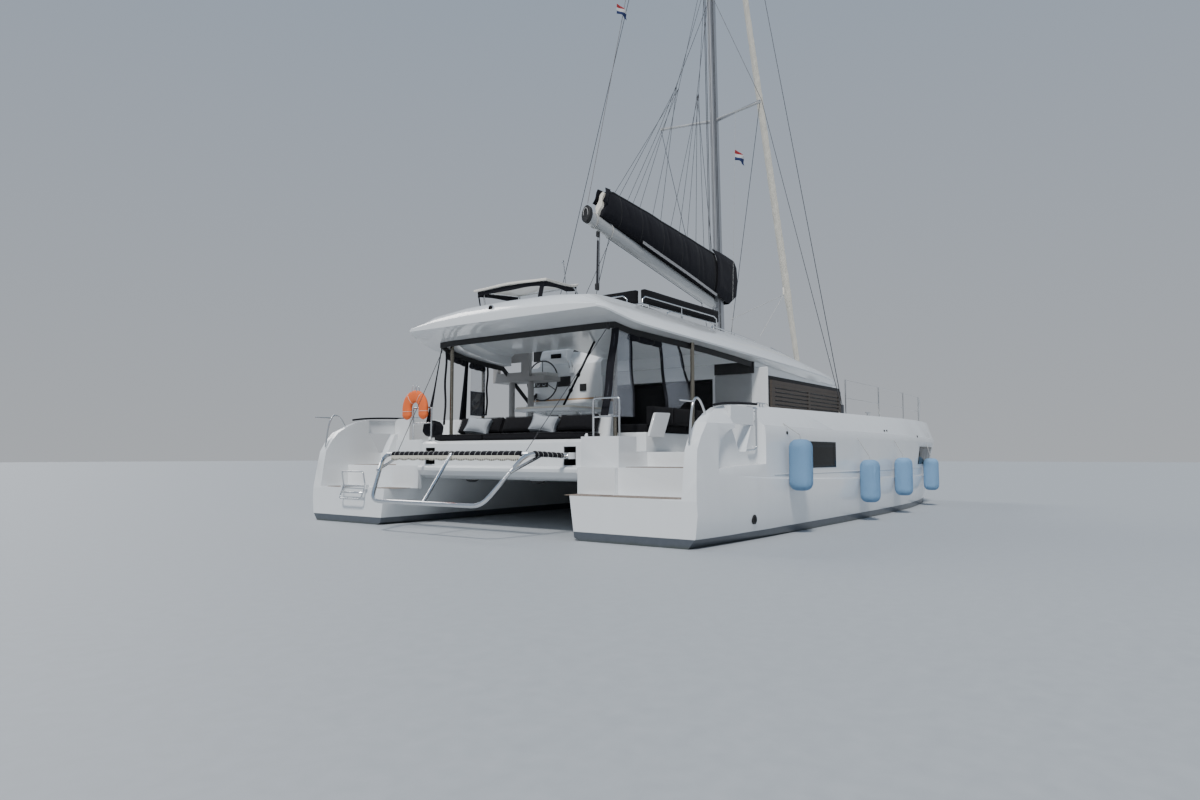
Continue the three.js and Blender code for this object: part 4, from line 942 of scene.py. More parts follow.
@dataclass(frozen=True)
class Cushion:
    """A crowned pad whose sides pull in between its corners, with piping round both its faces.

    Args:
        name: Its name.
        size: Its size on its own three axes, the last of them its thickness.
        middle: Where its middle is.
        turn: How it is turned about the three axes, in degrees.
        crown: How far its faces rise in the middle.
        pinch: How far its sides pull in between the corners.
        corner: The radius of its edges.
    """

    name: str
    size: Triple
    middle: Triple
    turn: Triple = (0.0, 0.0, 0.0)
    crown: float = 0.014
    pinch: float = 0.008
    corner: float = 0.028

    def place(self, a: float, b: float, c: float) -> Vector:
        """Carries a point of a cube from -1 to 1 to its place on the cushion."""
        point = Vector((a, b, c))
        half = Vector(self.size) / 2
        out = Vector([p * h for p, h in zip(point, half)])
        core = Vector([max(-(h - self.corner), min(h - self.corner, o)) for o, h in zip(out, half)])
        skin = out - core
        if skin.length > 0:
            core += skin.normalized() * self.corner
        swell = (1 - a * a) * (1 - b * b)
        core.z += c * self.crown * swell ** 0.6
        core.x -= a * self.pinch * (1 - b * b) * abs(a) ** 3
        core.y -= b * self.pinch * (1 - a * a) * abs(b) ** 3
        angles = [radians(part) for part in self.turn]
        return Vector(self.middle) + Euler(angles).to_matrix() @ core

    def shape(self, cuts: int = 9) -> Piece:
        """The cushion's closed mesh, before its piping and any simulation."""
        form = bmesh.new()
        bmesh.ops.create_cube(form, size=2.0)
        bmesh.ops.subdivide_edges(form, edges=form.edges[:], cuts=cuts, use_grid_fill=True)
        for vert in form.verts:
            vert.co = self.place(*vert.co)
        return meshed(self.name, form, 60.0)

    def piping(self, finish: Finish, body: str = "root") -> Piece:
        """The two cords of piping round its faces."""
        steps = 8
        walk = [k / steps * 2 - 1 for k in range(steps + 1)]
        loop = ([(t, -1.0) for t in walk] + [(1.0, t) for t in walk] + [(-t, 1.0) for t in walk]
                + [(-1.0, -t) for t in walk])
        runs = [[self.place(a, b, c) for a, b in loop] for c in (-1.0, 1.0)]
        return lines(self.name + "_piping", runs, 0.0035, finish, body, 1)

    def build(self, finish: Finish, *nodes: str, fill: float = 0.75, body: str = "root",
              swell: float = 0.0) -> Piece:
        """Makes the cushion, plumped by cloth simulation where a swell is given, and its piping.

        Args:
            finish: Its cloth.
            nodes: The nodes that it replaces.
            fill: How full it is, from 0 to 1. It is not used.
            body: The body that it rides on.
            swell: How far the simulation may move a point, or nothing for none.

        Returns:
            The cushion.
        """
        piece = self.shape()
        if swell:
            plumped(piece, swell)
        shown(piece, finish, body, *nodes)
        self.piping(finish, body)
        return piece


def plumped(piece: Piece, swell: float, voxel: float = 0.012, last_frame: int = 16) -> None:
    """Fills a pad by cloth simulation under pressure, and applies the result to its mesh.

    Args:
        piece: The pad.
        swell: How far a point may move.
        voxel: The size of the remeshed faces.
        last_frame: How many frames the pressure works for.
    """
    scene = bpy.context.scene
    remesh = piece.modifiers.new("even", "REMESH")
    remesh.mode = "VOXEL"
    remesh.voxel_size = voxel
    _apply(piece)
    rest = [vert.co.copy() for vert in piece.data.vertices]
    cloth = piece.modifiers.new("cloth", "CLOTH")
    cloth.settings.effector_weights.gravity = 0.0
    cloth.settings.use_pressure = True
    cloth.settings.uniform_pressure_force = 4.0
    cloth.settings.quality = 4
    cloth.collision_settings.use_collision = False
    cloth.point_cache.frame_end = last_frame
    for number in range(1, last_frame + 1):
        scene.frame_set(number)
    _apply(piece)
    scene.frame_set(1)
    for vert, start in zip(piece.data.vertices, rest):
        moved = vert.co - start
        if moved.length > swell:
            vert.co = start + moved.normalized() * swell
    piece.data.shade_smooth()


def _apply(piece: Piece) -> None:
    """Puts the result of a piece's modifiers into its mesh and takes them off."""
    shaped = bpy.data.meshes.new_from_object(piece.evaluated_get(bpy.context.evaluated_depsgraph_get()))
    piece.modifiers.clear()
    piece.data = shaped


# Camera, light and floor


@dataclass(frozen=True)
class Studio:
    """The camera where the photographer stood, soft daylight and a pale floor at the waterline.

    Args:
        eye: The camera's place.
        yaw: How far it looks to port of the bows, in radians.
        pitch: How far it looks up, in radians.
        lens: Its focal length in millimetres.
        floor_half: Half the floor's width.
        lamps: For each lamp its name, strength, angle and turn, both of these in degrees.
    """

    eye: Triple = (-14.6043, -8.4558, 1.0969)
    yaw: float = 0.6377
    pitch: float = 0.0695
    lens: float = 24.0
    floor_half: float = 150.0
    lamps: tuple[tuple[str, float, float, Triple], ...] = (
        ("key", 3.0, 8.0, (36.0, 0.0, -66.0)),
        ("rim", 0.9, 25.0, (55.0, 0.0, 170.0)),
    )

    def build(self) -> None:
        """Makes the camera, the lights, the sky and the floor."""
        data = bpy.data.cameras.new("camera")
        data.lens = self.lens
        data.sensor_width = 36.0
        data.clip_end = 600.0
        camera = linked("camera", data)
        look = Vector((cos(self.pitch) * cos(self.yaw), cos(self.pitch) * sin(self.yaw),
                       sin(self.pitch)))
        camera.rotation_euler = look.to_track_quat("-Z", "Y").to_euler()
        camera.location = self.eye
        bpy.context.scene.camera = camera
        for name, strength, angle, turn in self.lamps:
            lamp = bpy.data.lights.new(name, "SUN")
            lamp.energy = strength
            lamp.angle = radians(angle)
            lamp.color = (1.0, 0.975, 0.94)
            linked(name, lamp).rotation_euler = [radians(part) for part in turn]
        self._sky()
        form = bmesh.new()
        bmesh.ops.create_grid(form, x_segments=2, y_segments=2, size=self.floor_half)
        floor = meshed("floor", form)
        floor.data.materials.append(Finish("floor_paint", "gelcoat", (0.4, 0.425, 0.45), 0.6).material())

    @staticmethod
    def _sky() -> None:
        """A pale sky, a little bluer overhead, that the gelcoat picks up."""
        world = bpy.data.worlds.new("studio_sky")
        bpy.context.scene.world = world
        world.use_nodes = True
        tree = world.node_tree
        back = tree.nodes["Background"]
        place = tree.nodes.new("ShaderNodeTexCoord")
        split = tree.nodes.new("ShaderNodeSeparateXYZ")
        ramp = tree.nodes.new("ShaderNodeValToRGB")
        ramp.color_ramp.elements[0].color = (0.83, 0.87, 0.92, 1.0)
        ramp.color_ramp.elements[1].color = (0.42, 0.6, 0.86, 1.0)
        tree.links.new(place.outputs["Generated"], split.inputs[0])
        tree.links.new(split.outputs[2], ramp.inputs[0])
        tree.links.new(ramp.outputs[0], back.inputs[0])
        back.inputs[1].default_value = 0.55


# Sub-assemblies


@dataclass(frozen=True)
class Shell:
    """The mouldings and metalwork whose nodes have their shape already.

    Args:
        pieces: Finishes with the rounding of edges and the fixed nodes, a star standing for both sides.
        moving: The nodes that move, each with its finish, its rounding and its body.
    """

    pieces: tuple[tuple[Finish, float, tuple[str, ...]], ...] = (
        (HULL_WHITE, 0.014, ("hull_*",)),
        (DECK_WHITE, 0.02, ("bridgedeck",)),
        (SMOOTH_WHITE, 0.012, ("saloon_house", "roof", "helm_console")),
        (SMOOTH_WHITE, 0.008, ("cockpit_table",)),
        (CREAM_TOP, 0.012, ("helm_hardtop",)),
        (BOTTOM, 0.02, ("keel_*",)),
        (CABIN_GLASS, 0.002, ("saloon_glass", "door_fixed")),
        (POST_METAL, 0.0, ("roof_post_aft_*", "roof_post_side_*")),
        (STAINLESS, 0.0, ("helm_hardtop_frame", "lounge_rail", "guardrail_*", "stern_rail_*",
                          "gate_handrail_*")),
        (RIG_WIRE, 0.0, ("shrouds_*",)),
        (HELM_GREY, 0.045, ("helm_seat",)),
        (ANODISED, 0.003, ("mast", "bow_spine")),
        (SLATS, 0.002, ("gangway",)),
        (IRON, 0.01, ("engine_*",)),
        (CUSHION, 0.02, ("lounge_pad",)),
    )
    moving: tuple[tuple[str, Finish, float, str], ...] = (
        ("boom", PALE_SPAR, 0.003, "boom"),
        ("helm_wheel", WHEEL_GRIP, 0.0, "wheel"),
        ("rudder_*", BOTTOM, 0.01, "rudder_*"),
        ("propeller_*", BRONZE, 0.004, "propeller_*"),
        ("davit_frame", STAINLESS, 0.0, "davit"),
        ("swim_ladder", STAINLESS, 0.0, "ladder"),
        ("gate_*", SMOOTH_WHITE, 0.008, "gate_*"),
        ("door_sliding", CABIN_GLASS, 0.002, "door"),
        ("engine_hatch_*", TEAK, 0.003, "hatch_*"),
    )

    def build(self) -> None:
        """Shows every node as a finished moulding."""
        for finish, edge, nodes in self.pieces:
            for node in [name for given in nodes for name in both(given)]:
                moulding(node, finish, edge, 50.0 if edge == 0.0 else 32.0)
        for given, finish, edge, mover in self.moving:
            for node, body in zip(both(given), both(mover)):
                moulding(node, finish, edge, body=body)


@dataclass(frozen=True)
class HullGlass:
    """Dark panes let into the topsides, in the recesses that the hulls have for them.

    Args:
        limits: For each window its two limits along the boat and its two heights.
        inset: How far a pane lies under the topside.
        proud: How far it stands out where the topside bulges past its recess.
    """

    limits: tuple[tuple[float, float, float, float], ...] = (
        (-3.31, -2.01, 0.916, 1.313),
        (3.3, 4.9, 0.916, 1.29),
    )
    inset: float = 0.006
    proud: float = 0.005

    def build(self) -> None:
        """Makes each pane on each side."""
        for side in Side:
            probe = Probe(f"hull_{side.word}")
            for number, limits in enumerate(self.limits, 1):
                self._pane(side, probe, number, limits)

    def _pane(self, side: Side, probe: Probe, number: int, limits: tuple[float, ...]) -> None:
        """Makes one pane that follows the topside from its lower to its upper edge.

        Args:
            side: The side of the boat.
            probe: The surface of that side's hull.
            number: The pane's number.
            limits: Its two limits along the boat and its two heights.
        """
        x0, x1, z0, z1 = limits
        reach = 0.012

        def topside(x: float, z: float) -> float:
            """How far out the topside lies."""
            return abs(probe.flank(side, x, z).y)

        def surface(u: float, v: float) -> Point:
            """A point of the pane."""
            x, z = x0 + u * (x1 - x0), z0 + v * (z1 - z0)
            fair = topside(x, z0 - reach) * (1 - v) + topside(x, z1 + reach) * v
            return x, side.value * max(fair - self.inset, topside(x, z) + self.proud), z

        shown(sheeted(f"hull_window_{side.word}_{number}", 24, 8, surface, thick=0.004), WINDOW)


@dataclass(frozen=True)
class Enclosure:
    """The cockpit's track, black straps, clear curtains and rolled curtains under the roof's edge.

    Args:
        track: Points of the track on one side, as the place along the boat and the distance out.
        tall: The height of the track's black band.
        foot: The height that the clear curtains reach down to.
    """

    track: tuple[Pair, ...] = ((-1.82, 2.30), (-2.5, 2.29), (-3.3, 2.25), (-4.0, 2.18), (-4.5, 2.08),
                               (-5.05, 1.915), (-5.3, 1.83))
    tall: float = 0.09
    foot: float = 1.66

    def _under(self, probe: Probe, x: float, y: float) -> Vector:
        """The point of the roof's underside over a place."""
        return probe.hit((x, y, 2.2), (0, 0, 1))

    def _head(self, probe: Probe, x: float, y: float) -> Vector:
        """The foot of the track's band over a place, which curtains hang from."""
        return self._under(probe, x, y) - upward(self.tall)

    def build(self) -> None:
        """Makes the band all round, then the curtains of each side."""
        probe = Probe("roof")
        ends = [(x, -out) for x, out in self.track]
        across = [(-5.32, y / 10) for y in range(-15, 16, 5)]
        route = ends + across + [(x, -y) for x, y in reversed(ends)]
        path = [self._under(probe, x, y) - upward(0.002) for x, y in route]
        shown(swept("curtain_track", path, rectangle(-0.012, 0.0, 0.012, -self.tall)), RUBBER)
        self._starboard(probe)
        self._port(probe)

    def _starboard(self, probe: Probe) -> None:
        """Four black straps with clear vinyl between the first two and the last two, and a roll between."""
        heads = [self._head(probe, x, y) for x, y in
                 ((-5.29, -1.83), (-5.05, -1.915), (-4.5, -2.08), (-4.1, -2.165))]
        feet = [Vector(place) for place in ((-5.55, -1.83, self.foot), (-4.97, -1.93, self.foot),
                                            (-4.3, -2.1, self.foot), (-3.78, -2.2, 2.0))]
        widths = (0.13, 0.055, 0.05, 0.05)
        for number, (head, foot, width) in enumerate(zip(heads, feet, widths), 1):
            self._strap(f"curtain_strap_{number}", head, foot, width)
        for name, first in (("aft", 0), ("fore", 2)):
            self._curtain(f"clear_curtain_{name}", heads[first:first + 2], feet[first:first + 2])
        self._roll("rolled_curtain_starboard", heads[1], heads[2], 0.045)

    def _port(self, probe: Probe) -> None:
        """Two rolled curtains, a gathered one, two straps, a loose tail, and clear over smoked vinyl."""
        heads = [self._head(probe, x, y) for x, y in
                 ((-5.05, 1.915), (-4.5, 2.08), (-4.3, 2.12), (-3.9, 2.19))]
        self._roll("rolled_curtain_port_aft", heads[0], heads[1], 0.05)
        self._roll("rolled_curtain_port_fore", heads[2], heads[3], 0.05)
        self._gathered("gathered_curtain", heads[1] + Vector((0.06, 0, 0)), 1.2)
        for number, (x, y, foot) in enumerate(((-5.2, 1.8, 1.62), (-3.78, 2.21, 1.85)), 5):
            end = Vector((x - 0.02, y, foot))
            self._strap(f"curtain_strap_{number}", self._head(probe, x, y), end, 0.045)
        head = self._head(probe, -5.28, 1.83)
        foot = Vector((-5.6, 1.79, 1.62))

        def hanging(u: float, v: float) -> Point:
            """A point of the loose tail."""
            place = head.lerp(foot, v)
            wide = 0.025 + 0.11 * max(0.0, v - 0.3) ** 1.3
            return place + Vector((0.02 * sin(7 * u + 3 * v) * v, (u - 0.5) * wide, 0))

        tail = shown(sheeted("hanging_curtain", 8, 24, hanging, thick=0.003), BAG_CLOTH)
        tops = [self._head(probe, x, y) for x, y in ((-4.29, 2.12), (-3.83, 2.2))]
        middles, feet = [[Vector((place.x, place.y + 0.02, z)) for place in tops] for z in (2.28, 1.83)]
        self._curtain("clear_curtain_port", tops, middles)
        self._curtain("smoked_curtain_port", middles, feet, SMOKED)

    def _strap(self, name: str, head: Vector, foot: Vector, width: float) -> None:
        """A black zip strip from the track down.

        Args:
            name: Its name.
            head: Its upper end.
            foot: Its lower end.
            width: Its width.
        """
        steps = 12
        path = [head.lerp(foot, k / steps) + Vector((0.012 * sin(k * 0.9), 0, 0)) for k in range(steps + 1)]
        piece = shown(swept(name, path, flat_section(0.004, width / 2), 60.0), BAG_CLOTH)

    def _curtain(self, name: str, heads: Sequence[Vector], feet: Sequence[Vector],
                 finish: Finish = VINYL) -> None:
        """A sheet of vinyl between two straps, with slow waves down it.

        Args:
            name: Its name.
            heads: Its two upper corners.
            feet: Its two lower corners.
            finish: Its vinyl.
        """
        def surface(u: float, v: float) -> Point:
            """A point of the sheet."""
            place = heads[0].lerp(heads[1], u).lerp(feet[0].lerp(feet[1], u), v)
            place.y += 0.012 * sin(5 * v + 3 * u) * sin(pi * u)
            return place

        piece = shown(sheeted(name, 8, 16, surface, thick=0.0012), finish)

    def _roll(self, name: str, start: Vector, end: Vector, radius: float) -> None:
        """A curtain rolled up under the track, held by two toggles.

        Args:
            name: Its name.
            start: Its after end, on the track.
            end: Its forward end.
            radius: Its radius.
        """
        run = end - start
        toggles = (0.25, 0.75)

        def surface(u: float, v: float) -> Point:
            """A point of the roll."""
            place = start + run * v + upward(-radius * 1.02)
            bulge = 1 - sum(0.22 * exp(-((v - toggle) / 0.05) ** 2) for toggle in toggles)
            thick = radius * bulge * (1 + 0.1 * noise.noise(Vector((6 * u, 9 * v, radius * 40))))
            lap = 1 + 0.08 * (u % 1.0)
            return place + Vector((0, cos(TAU * u), sin(TAU * u))) * thick * lap

        piece = shown(sheeted(name, 18, 30, surface, closed=True), BAG_CLOTH)
        for share in toggles:
            middle = start + run * share - upward(radius)
            hoop = [middle + Vector((0, cos(a), sin(a))) * radius * 0.86 for a in turns(12, True)]
            lines(f"{name}_toggle_{int(share * 100)}", [hoop], 0.006, RUBBER)

    def _gathered(self, name: str, head: Vector, drop: float) -> None:
        """A black curtain that hangs bunched, narrow at its head and wider at its foot.

        Args:
            name: Its name.
            head: Where it hangs from.
            drop: How far down it reaches.
        """
        def surface(u: float, v: float) -> Point:
            """A point of the bunched cloth."""
            half = 0.03 + 0.045 * v ** 1.4
            x = head.x - 0.1 * v + (u - 0.5) * 2 * half
            y = head.y + 0.024 * (0.6 + 0.5 * v) * sin(u * 10 * pi + 1.2 * v)
            return x, y, head.z - drop * v

        piece = shown(sheeted(name, 48, 20, surface, thick=0.002), BAG_CLOTH)


@dataclass(frozen=True)
class CockpitCushions:
    """Cushions of the stern lounge, the cockpit sofa and the lounge on the roof."""

    def build(self) -> None:
        """Makes each group."""
        self._stern()
        self._sofa()
        self._roof()
        self._pillows()

    @staticmethod
    def _stern() -> None:
        """Two seat cushions and three leaning backs over the crossbeam."""
        seats = (("port", 0.335, 1.42), ("starboard", -1.5, 0.325))
        for number, (word, y0, y1) in enumerate(seats):
            cushion = Cushion(f"stern_cushion_{word}", (0.625, y1 - y0, 0.094),
                              (-5.495, (y0 + y1) / 2, 1.383), crown=0.004, pinch=0.006)
            cushion.build(CUSHION, *(("stern_seat",) if number == 0 else ()), swell=0.006)
        backs = ((0.42, 1.39), (-0.72, 0.39), (-1.47, -0.75))
        for number, (y0, y1) in enumerate(backs):
            cushion = Cushion(f"stern_back_{number + 1}", (0.275, y1 - y0, 0.1),
                              (-5.228, (y0 + y1) / 2, 1.583), (0.0, -66.0, 0.0), crown=0.012)
            cushion.build(CUSHION, *(("stern_backrest",) if number == 0 else ()), swell=0.008)

    @staticmethod
    def _sofa() -> None:
        """Three seats and three backs of the dark sofa to starboard, on its plain base."""
        base = rounded_box("sofa_base", (-4.85, -2.06, 1.1506), (-3.05, -1.42, 1.44), 0.02)
        shown(base, SMOOTH_WHITE, "root", "cockpit_sofa")
        length = 0.6
        for number in range(3):
            x = -4.85 + length * (number + 0.5)
            Cushion(f"sofa_seat_{number + 1}", (length - 0.01, 0.63, 0.115), (x, -1.735, 1.5),
                    crown=0.012).build(CUSHION)
            Cushion(f"sofa_back_{number + 1}", (length - 0.01, 0.27, 0.12), (x, -2.115, 1.69),
                    (90.0, 0.0, 0.0), crown=0.016).build(CUSHION)

    @staticmethod
    def _roof() -> None:
        """The charcoal backs along two sides of the sun pad on the roof."""
        side = Cushion("roof_back_side", (2.6, 0.232, 0.1), (-2.19, -1.115, 3.784), (90.0, 0.0, 0.0), 0.006)
        side.build(CUSHION, "lounge_backrest")
        aft = Cushion("roof_back_aft", (0.232, 1.14, 0.1), (-3.465, -0.42, 3.784), (0.0, 90.0, 0.0), 0.006)
        aft.build(CUSHION)

    @staticmethod
    def _pillows() -> None:
        """Loose pale pillows that lean on the stern backs, their faces plain."""
        for number, (y, lean) in enumerate(((0.79, 16.0), (-0.6, 18.0)), 1):
            pillow = Cushion(f"loose_pillow_{number}", (0.29, 0.43, 0.1), (-5.415, y, 1.572),
                             (lean, -62.0, 0.0), crown=0.034, pinch=0.022, corner=0.018)
            pillow.build(PILLOW, fill=0.6, swell=0.014)


@dataclass(frozen=True)
class SailBag:
    """The bag along the boom, its front laced round the mast, and what shows of the sail at its end.

    Args:
        start: The gooseneck.
        end: The boom's after end.
        rows: Shares of the boom's length, each with the bag's height over the boom and its half width.
        low: The height of the bag's foot over the boom's middle line.
        ties: Shares of the boom's length where webbing ties the bag.
        edge: The angle round the bag at which its top edges lie.
    """

    start: Triple = (1.1071, 0.0, 4.45)
    end: Triple = (-3.56, 0.0, 5.33)
    rows: tuple[Triple, ...] = (
        (0.035, 1.15, 0.195), (0.3, 1.01, 0.225), (0.67, 0.85, 0.205), (0.865, 0.755, 0.165),
        (0.885, 0.7, 0.15), (0.905, 0.52, 0.13), (0.92, 0.33, 0.11), (0.93, 0.2, 0.09))
    low: float = 0.1315
    ties: tuple[float, ...] = (0.06, 0.22, 0.37, 0.52, 0.68, 0.82)
    edge: float = 2.55

    def along(self, t: float) -> Vector:
        """The point of the boom's middle line at a share of its length."""
        return Vector(self.start).lerp(Vector(self.end), t)

    def skin(self, angle: float, t: float) -> Vector:
        """A point of the bag's cloth, sagging between its ties.

        Args:
            angle: The angle round the bag, from its foot.
            t: The share of the boom's length.

        Returns:
            The point.
        """
        high, half = between_rows(self.rows, t)
        rise = (1 - cos(angle)) / 2
        belly = abs(sin(angle)) ** (0.55 if rise < 0.5 else 0.85)
        creases = noise.noise(Vector((4 * t, 0.6 * rise + 1.5 * t, 2.0)))
        tuck = sum(exp(-((t - tie) / 0.01) ** 2) for tie in self.ties)
        fold = sum(exp(-((t - tie + 0.07 - 0.05 * rise) / 0.007) ** 2) for tie in self.ties)
        half *= 0.95 + 0.07 * (creases * (0.4 + rise) - tuck * rise) - 0.1 * fold * sin(pi * rise)
        y = copysign(belly * half, sin(angle)) if 0 < rise < 1 else 0.0
        sag = 0.014 * noise.noise(Vector((9 * t, 0.0, 5.0))) * rise
        z = self.low + (high - self.low) * rise - sag * 0.5 - 0.01 * rise
        return self.along(t) + Vector((0.0, y, z))

    def build(self) -> None:
        """Makes the bag, its strips and the sail's end, which swing with the boom, and the front."""
        t0, t1 = 0.036, 0.926

        def surface(u: float, v: float) -> Point:
            """A point of the bag."""
            return self.skin(TAU * u, t0 + (t1 - t0) * v)

        bag = shown(sheeted("sail_bag_cloth", 30, 110, surface, closed=True), BAG_CLOTH, "boom", "sail_bag")
        self._strips()
        self._front()
        self._boom_end()
        self._clew()

    def _strips(self) -> None:
        """The batten pocket along each top edge, the pale foot strip and the webbing loops of the ties."""
        for side in Side:
            top = [self.skin(side.value * self.edge, 0.04 + 0.845 * k / 40)
                   + Vector((0, side.value * 0.006, 0.004)) for k in range(41)]
            shown(swept(f"bag_batten_{side.word}", top, flat_section(0.008, 0.012)), RUBBER, "boom")
            foot = [self.skin(side.value * 0.5, 0.03 + 0.635 * k / 40)
                    + Vector((0, side.value * 0.012, -0.035)) for k in range(41)]
            strip = swept(f"bag_foot_strip_{side.word}", foot, flat_section(0.004, 0.03), 60.0)
            shown(strip, STRIP_GREY, "boom")
        loops = [[self.skin(a, tie) for a in turns(24, True)] for tie in self.ties]
        lines("bag_webbing", loops, 0.006, RUBBER, "boom", 1)

    def _beside(self, x: float, z: float) -> float:
        """How far out cloth must lie to clear the bag's side at a place along the boat and a height."""
        t = (self.start[0] - x) / (self.start[0] - self.end[0])
        high, half = between_rows(self.rows, t)
        rise = max(0.02, min(0.98, (z - self.along(t).z - self.low) / (high - self.low)))
        return 1.05 * half * (2 * sqrt(rise * (1 - rise))) ** (0.55 if rise < 0.5 else 0.85) + 0.014

    def _front(self) -> None:
        """The cloth that closes the bag round the mast, its two wings laid over the bag's sides."""
        rows = ((0.0, 1.62, 0.13), (0.2, 1.88, 0.19), (0.5, 1.925, 0.2), (0.85, 1.92, 0.175),
                (1.0, 1.9, 0.125))
        aft = 0.86

        def surface(u: float, v: float) -> Point:
            """A point of the cloth."""
            fore, half = between_rows(rows, v)
            bend = (u - 0.5) * 2
            x = aft + (fore - aft) * (1 - abs(bend) ** 3)
            foot = 4.7 - 0.16 * min(1.0, (x - aft) / 0.5)
            z = foot + (5.66 - 0.11 * (x - aft) - foot) * v
            near = max(0.0, min(1.0, (x - 0.98) / 0.16))
            half = self._beside(min(x, 1.0), z) * (1 - near) + half * near
            ripple = 1 + 0.05 * noise.noise(Vector((4 * x, 3 * z, 4.0 + bend)))
            return x, -half * ripple * copysign(min(1.0, abs(bend) * 2.2) ** 0.6, bend), z

        piece = sheeted("sail_bag_front_cloth", 44, 20, surface, thick=0.006)
        dressed(piece, BAG_CLOTH)
        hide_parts("sail_bag_front")
        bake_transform(piece)

    def _boom_end(self) -> None:
        """The boom's black end cap with its sheave, and its rope strops."""
        end, before = self.along(1.0), self.along(0.97)
        way = (end - before).normalized()
        lift = upward(0.025)
        ring = [(0.094 * cos(a), 0.165 * sin(a)) for a in turns(24)]
        cap = swept("boom_end_cap", [end + lift - way * 0.03, end + lift + way * 0.06], ring)
        shown(softened(cap, 0.01), RUBBER, "boom")
        rim = [end + lift + way * 0.06 + Vector((0, 0.05 * cos(a), 0.1 * sin(a)))
               for a in turns(24, True)]
        lines("boom_end_sheave", [rim], 0.008, HELM_GREY, "boom", 1)
        strops = []
        for t, loose in ((0.955, 0.008), (0.962, 0.008), (0.86, 0.01)):
            strops.append([self.along(t) + Vector((0, (0.085 + loose) * sin(a), (0.13 + loose) * cos(a)))
                           for a in turns(20, True)])
        lines("boom_strops", strops, 0.008, BRAID, "boom")

    def _clew(self) -> None:
        """The sail's folded corner that shows in the bag's open end, between the end's two loose flaps."""
        def surface(u: float, v: float) -> Point:
            """A point of the folded sail."""
            angle = TAU * u
            rise = (1 - cos(angle)) / 2
            half = 0.07 * (1 - 0.25 * v) * (1 + 0.3 * sin(5 * angle + 2 * v))
            place = self.along(0.9 + 0.045 * v - 0.042 * rise)
            return place + Vector((0, half * sin(angle), 0.15 + 0.5 * rise))

        sail = shown(sheeted("folded_sail_end", 40, 8, surface, closed=True), SAILCLOTH, "boom")
        for side in Side:
            def flap(u: float, v: float) -> Point:
                """A point of the flap."""
                t = 0.876 + 0.03 * v + 0.03 * u
                y = side.value * (0.085 + 0.04 * v + 0.02 * u * sin(5 * v + side.value))
                return self.along(t) + Vector((0, y, 0.73 - 0.02 * u - 0.33 * v))

            piece = shown(sheeted(f"bag_flap_{side.word}", 6, 10, flap, thick=0.003), BAG_CLOTH, "boom")


@dataclass(frozen=True)
class Headsail:
    """The furled headsail with its drum and foil, its leech wound round in a spiral.

    Args:
        foot: Where the stay is held on the spine.
        head: Where the stay meets the mast.
        wraps: How many turns the leech makes.
    """

    foot: Triple = (6.29, 0.0, 1.78)
    head: Triple = (1.032, 0.0, 17.9)
    wraps: float = 34.0

    def on(self, t: float) -> Vector:
        """The point at a share of the stay."""
        return Vector(self.foot).lerp(Vector(self.head), t)

    def build(self) -> None:
        """Makes the wound sail, the drum and the bare ends of the foil."""
        way = (self.on(1.0) - self.on(0.0)).normalized()
        side = Vector((0, 1, 0))
        fore = side.cross(way)
        rows = ((0.03, 0.05), (0.1, 0.068), (0.19, 0.076), (0.215, 0.095), (0.5, 0.082), (0.93, 0.043))

        def surface(u: float, v: float) -> Point:
            """A point of the wound sail."""
            t = rows[0][0] + (rows[-1][0] - rows[0][0]) * v
            angle = TAU * u
            lap = (u + self.wraps * v) % 1.0
            ruck = 0.03 * noise.noise(Vector((2 * cos(angle), 2 * sin(angle), 60 * v)))
            thick = between_rows(rows, t)[0] * (0.96 + 0.09 * lap + ruck)
            return self.on(t) + (side * cos(angle) + fore * sin(angle)) * thick

        sail = sheeted("wound_headsail", 20, 420, surface, closed=True)
        shown(sail, SAILCLOTH, "root", "furled_headsail")
        ring = round_section(0.085)
        for name, first, last in (("furler_drum_low", 0.0175, 0.0185), ("furler_drum_high", 0.029, 0.03)):
            shown(softened(swept(name, [self.on(first), self.on(last)], ring), 0.003), STAINLESS)
        shown(swept("furler_core", [self.on(0.0185), self.on(0.029)], round_section(0.051)), DARK_BRAID)
        bare = [[self.on(0.001), self.on(0.032)], [self.on(0.925), self.on(0.998)]]
        lines("forestay_ends", bare, 0.012, ANODISED)
        clew = Vector((4.62, -0.11, 5.24))
        patch = [clew + Vector((0.1, 0.05, 0.2)), clew + Vector((0.02, 0.0, 0.06)), clew]
        lines("headsail_clew", [patch], 0.022, SAILCLOTH, smooth=True)
        lines("headsail_sheets", [[clew, (0.13, -0.9, 3.9)], [clew, (1.4, -0.95, 3.7)]], 0.007, BRAID)


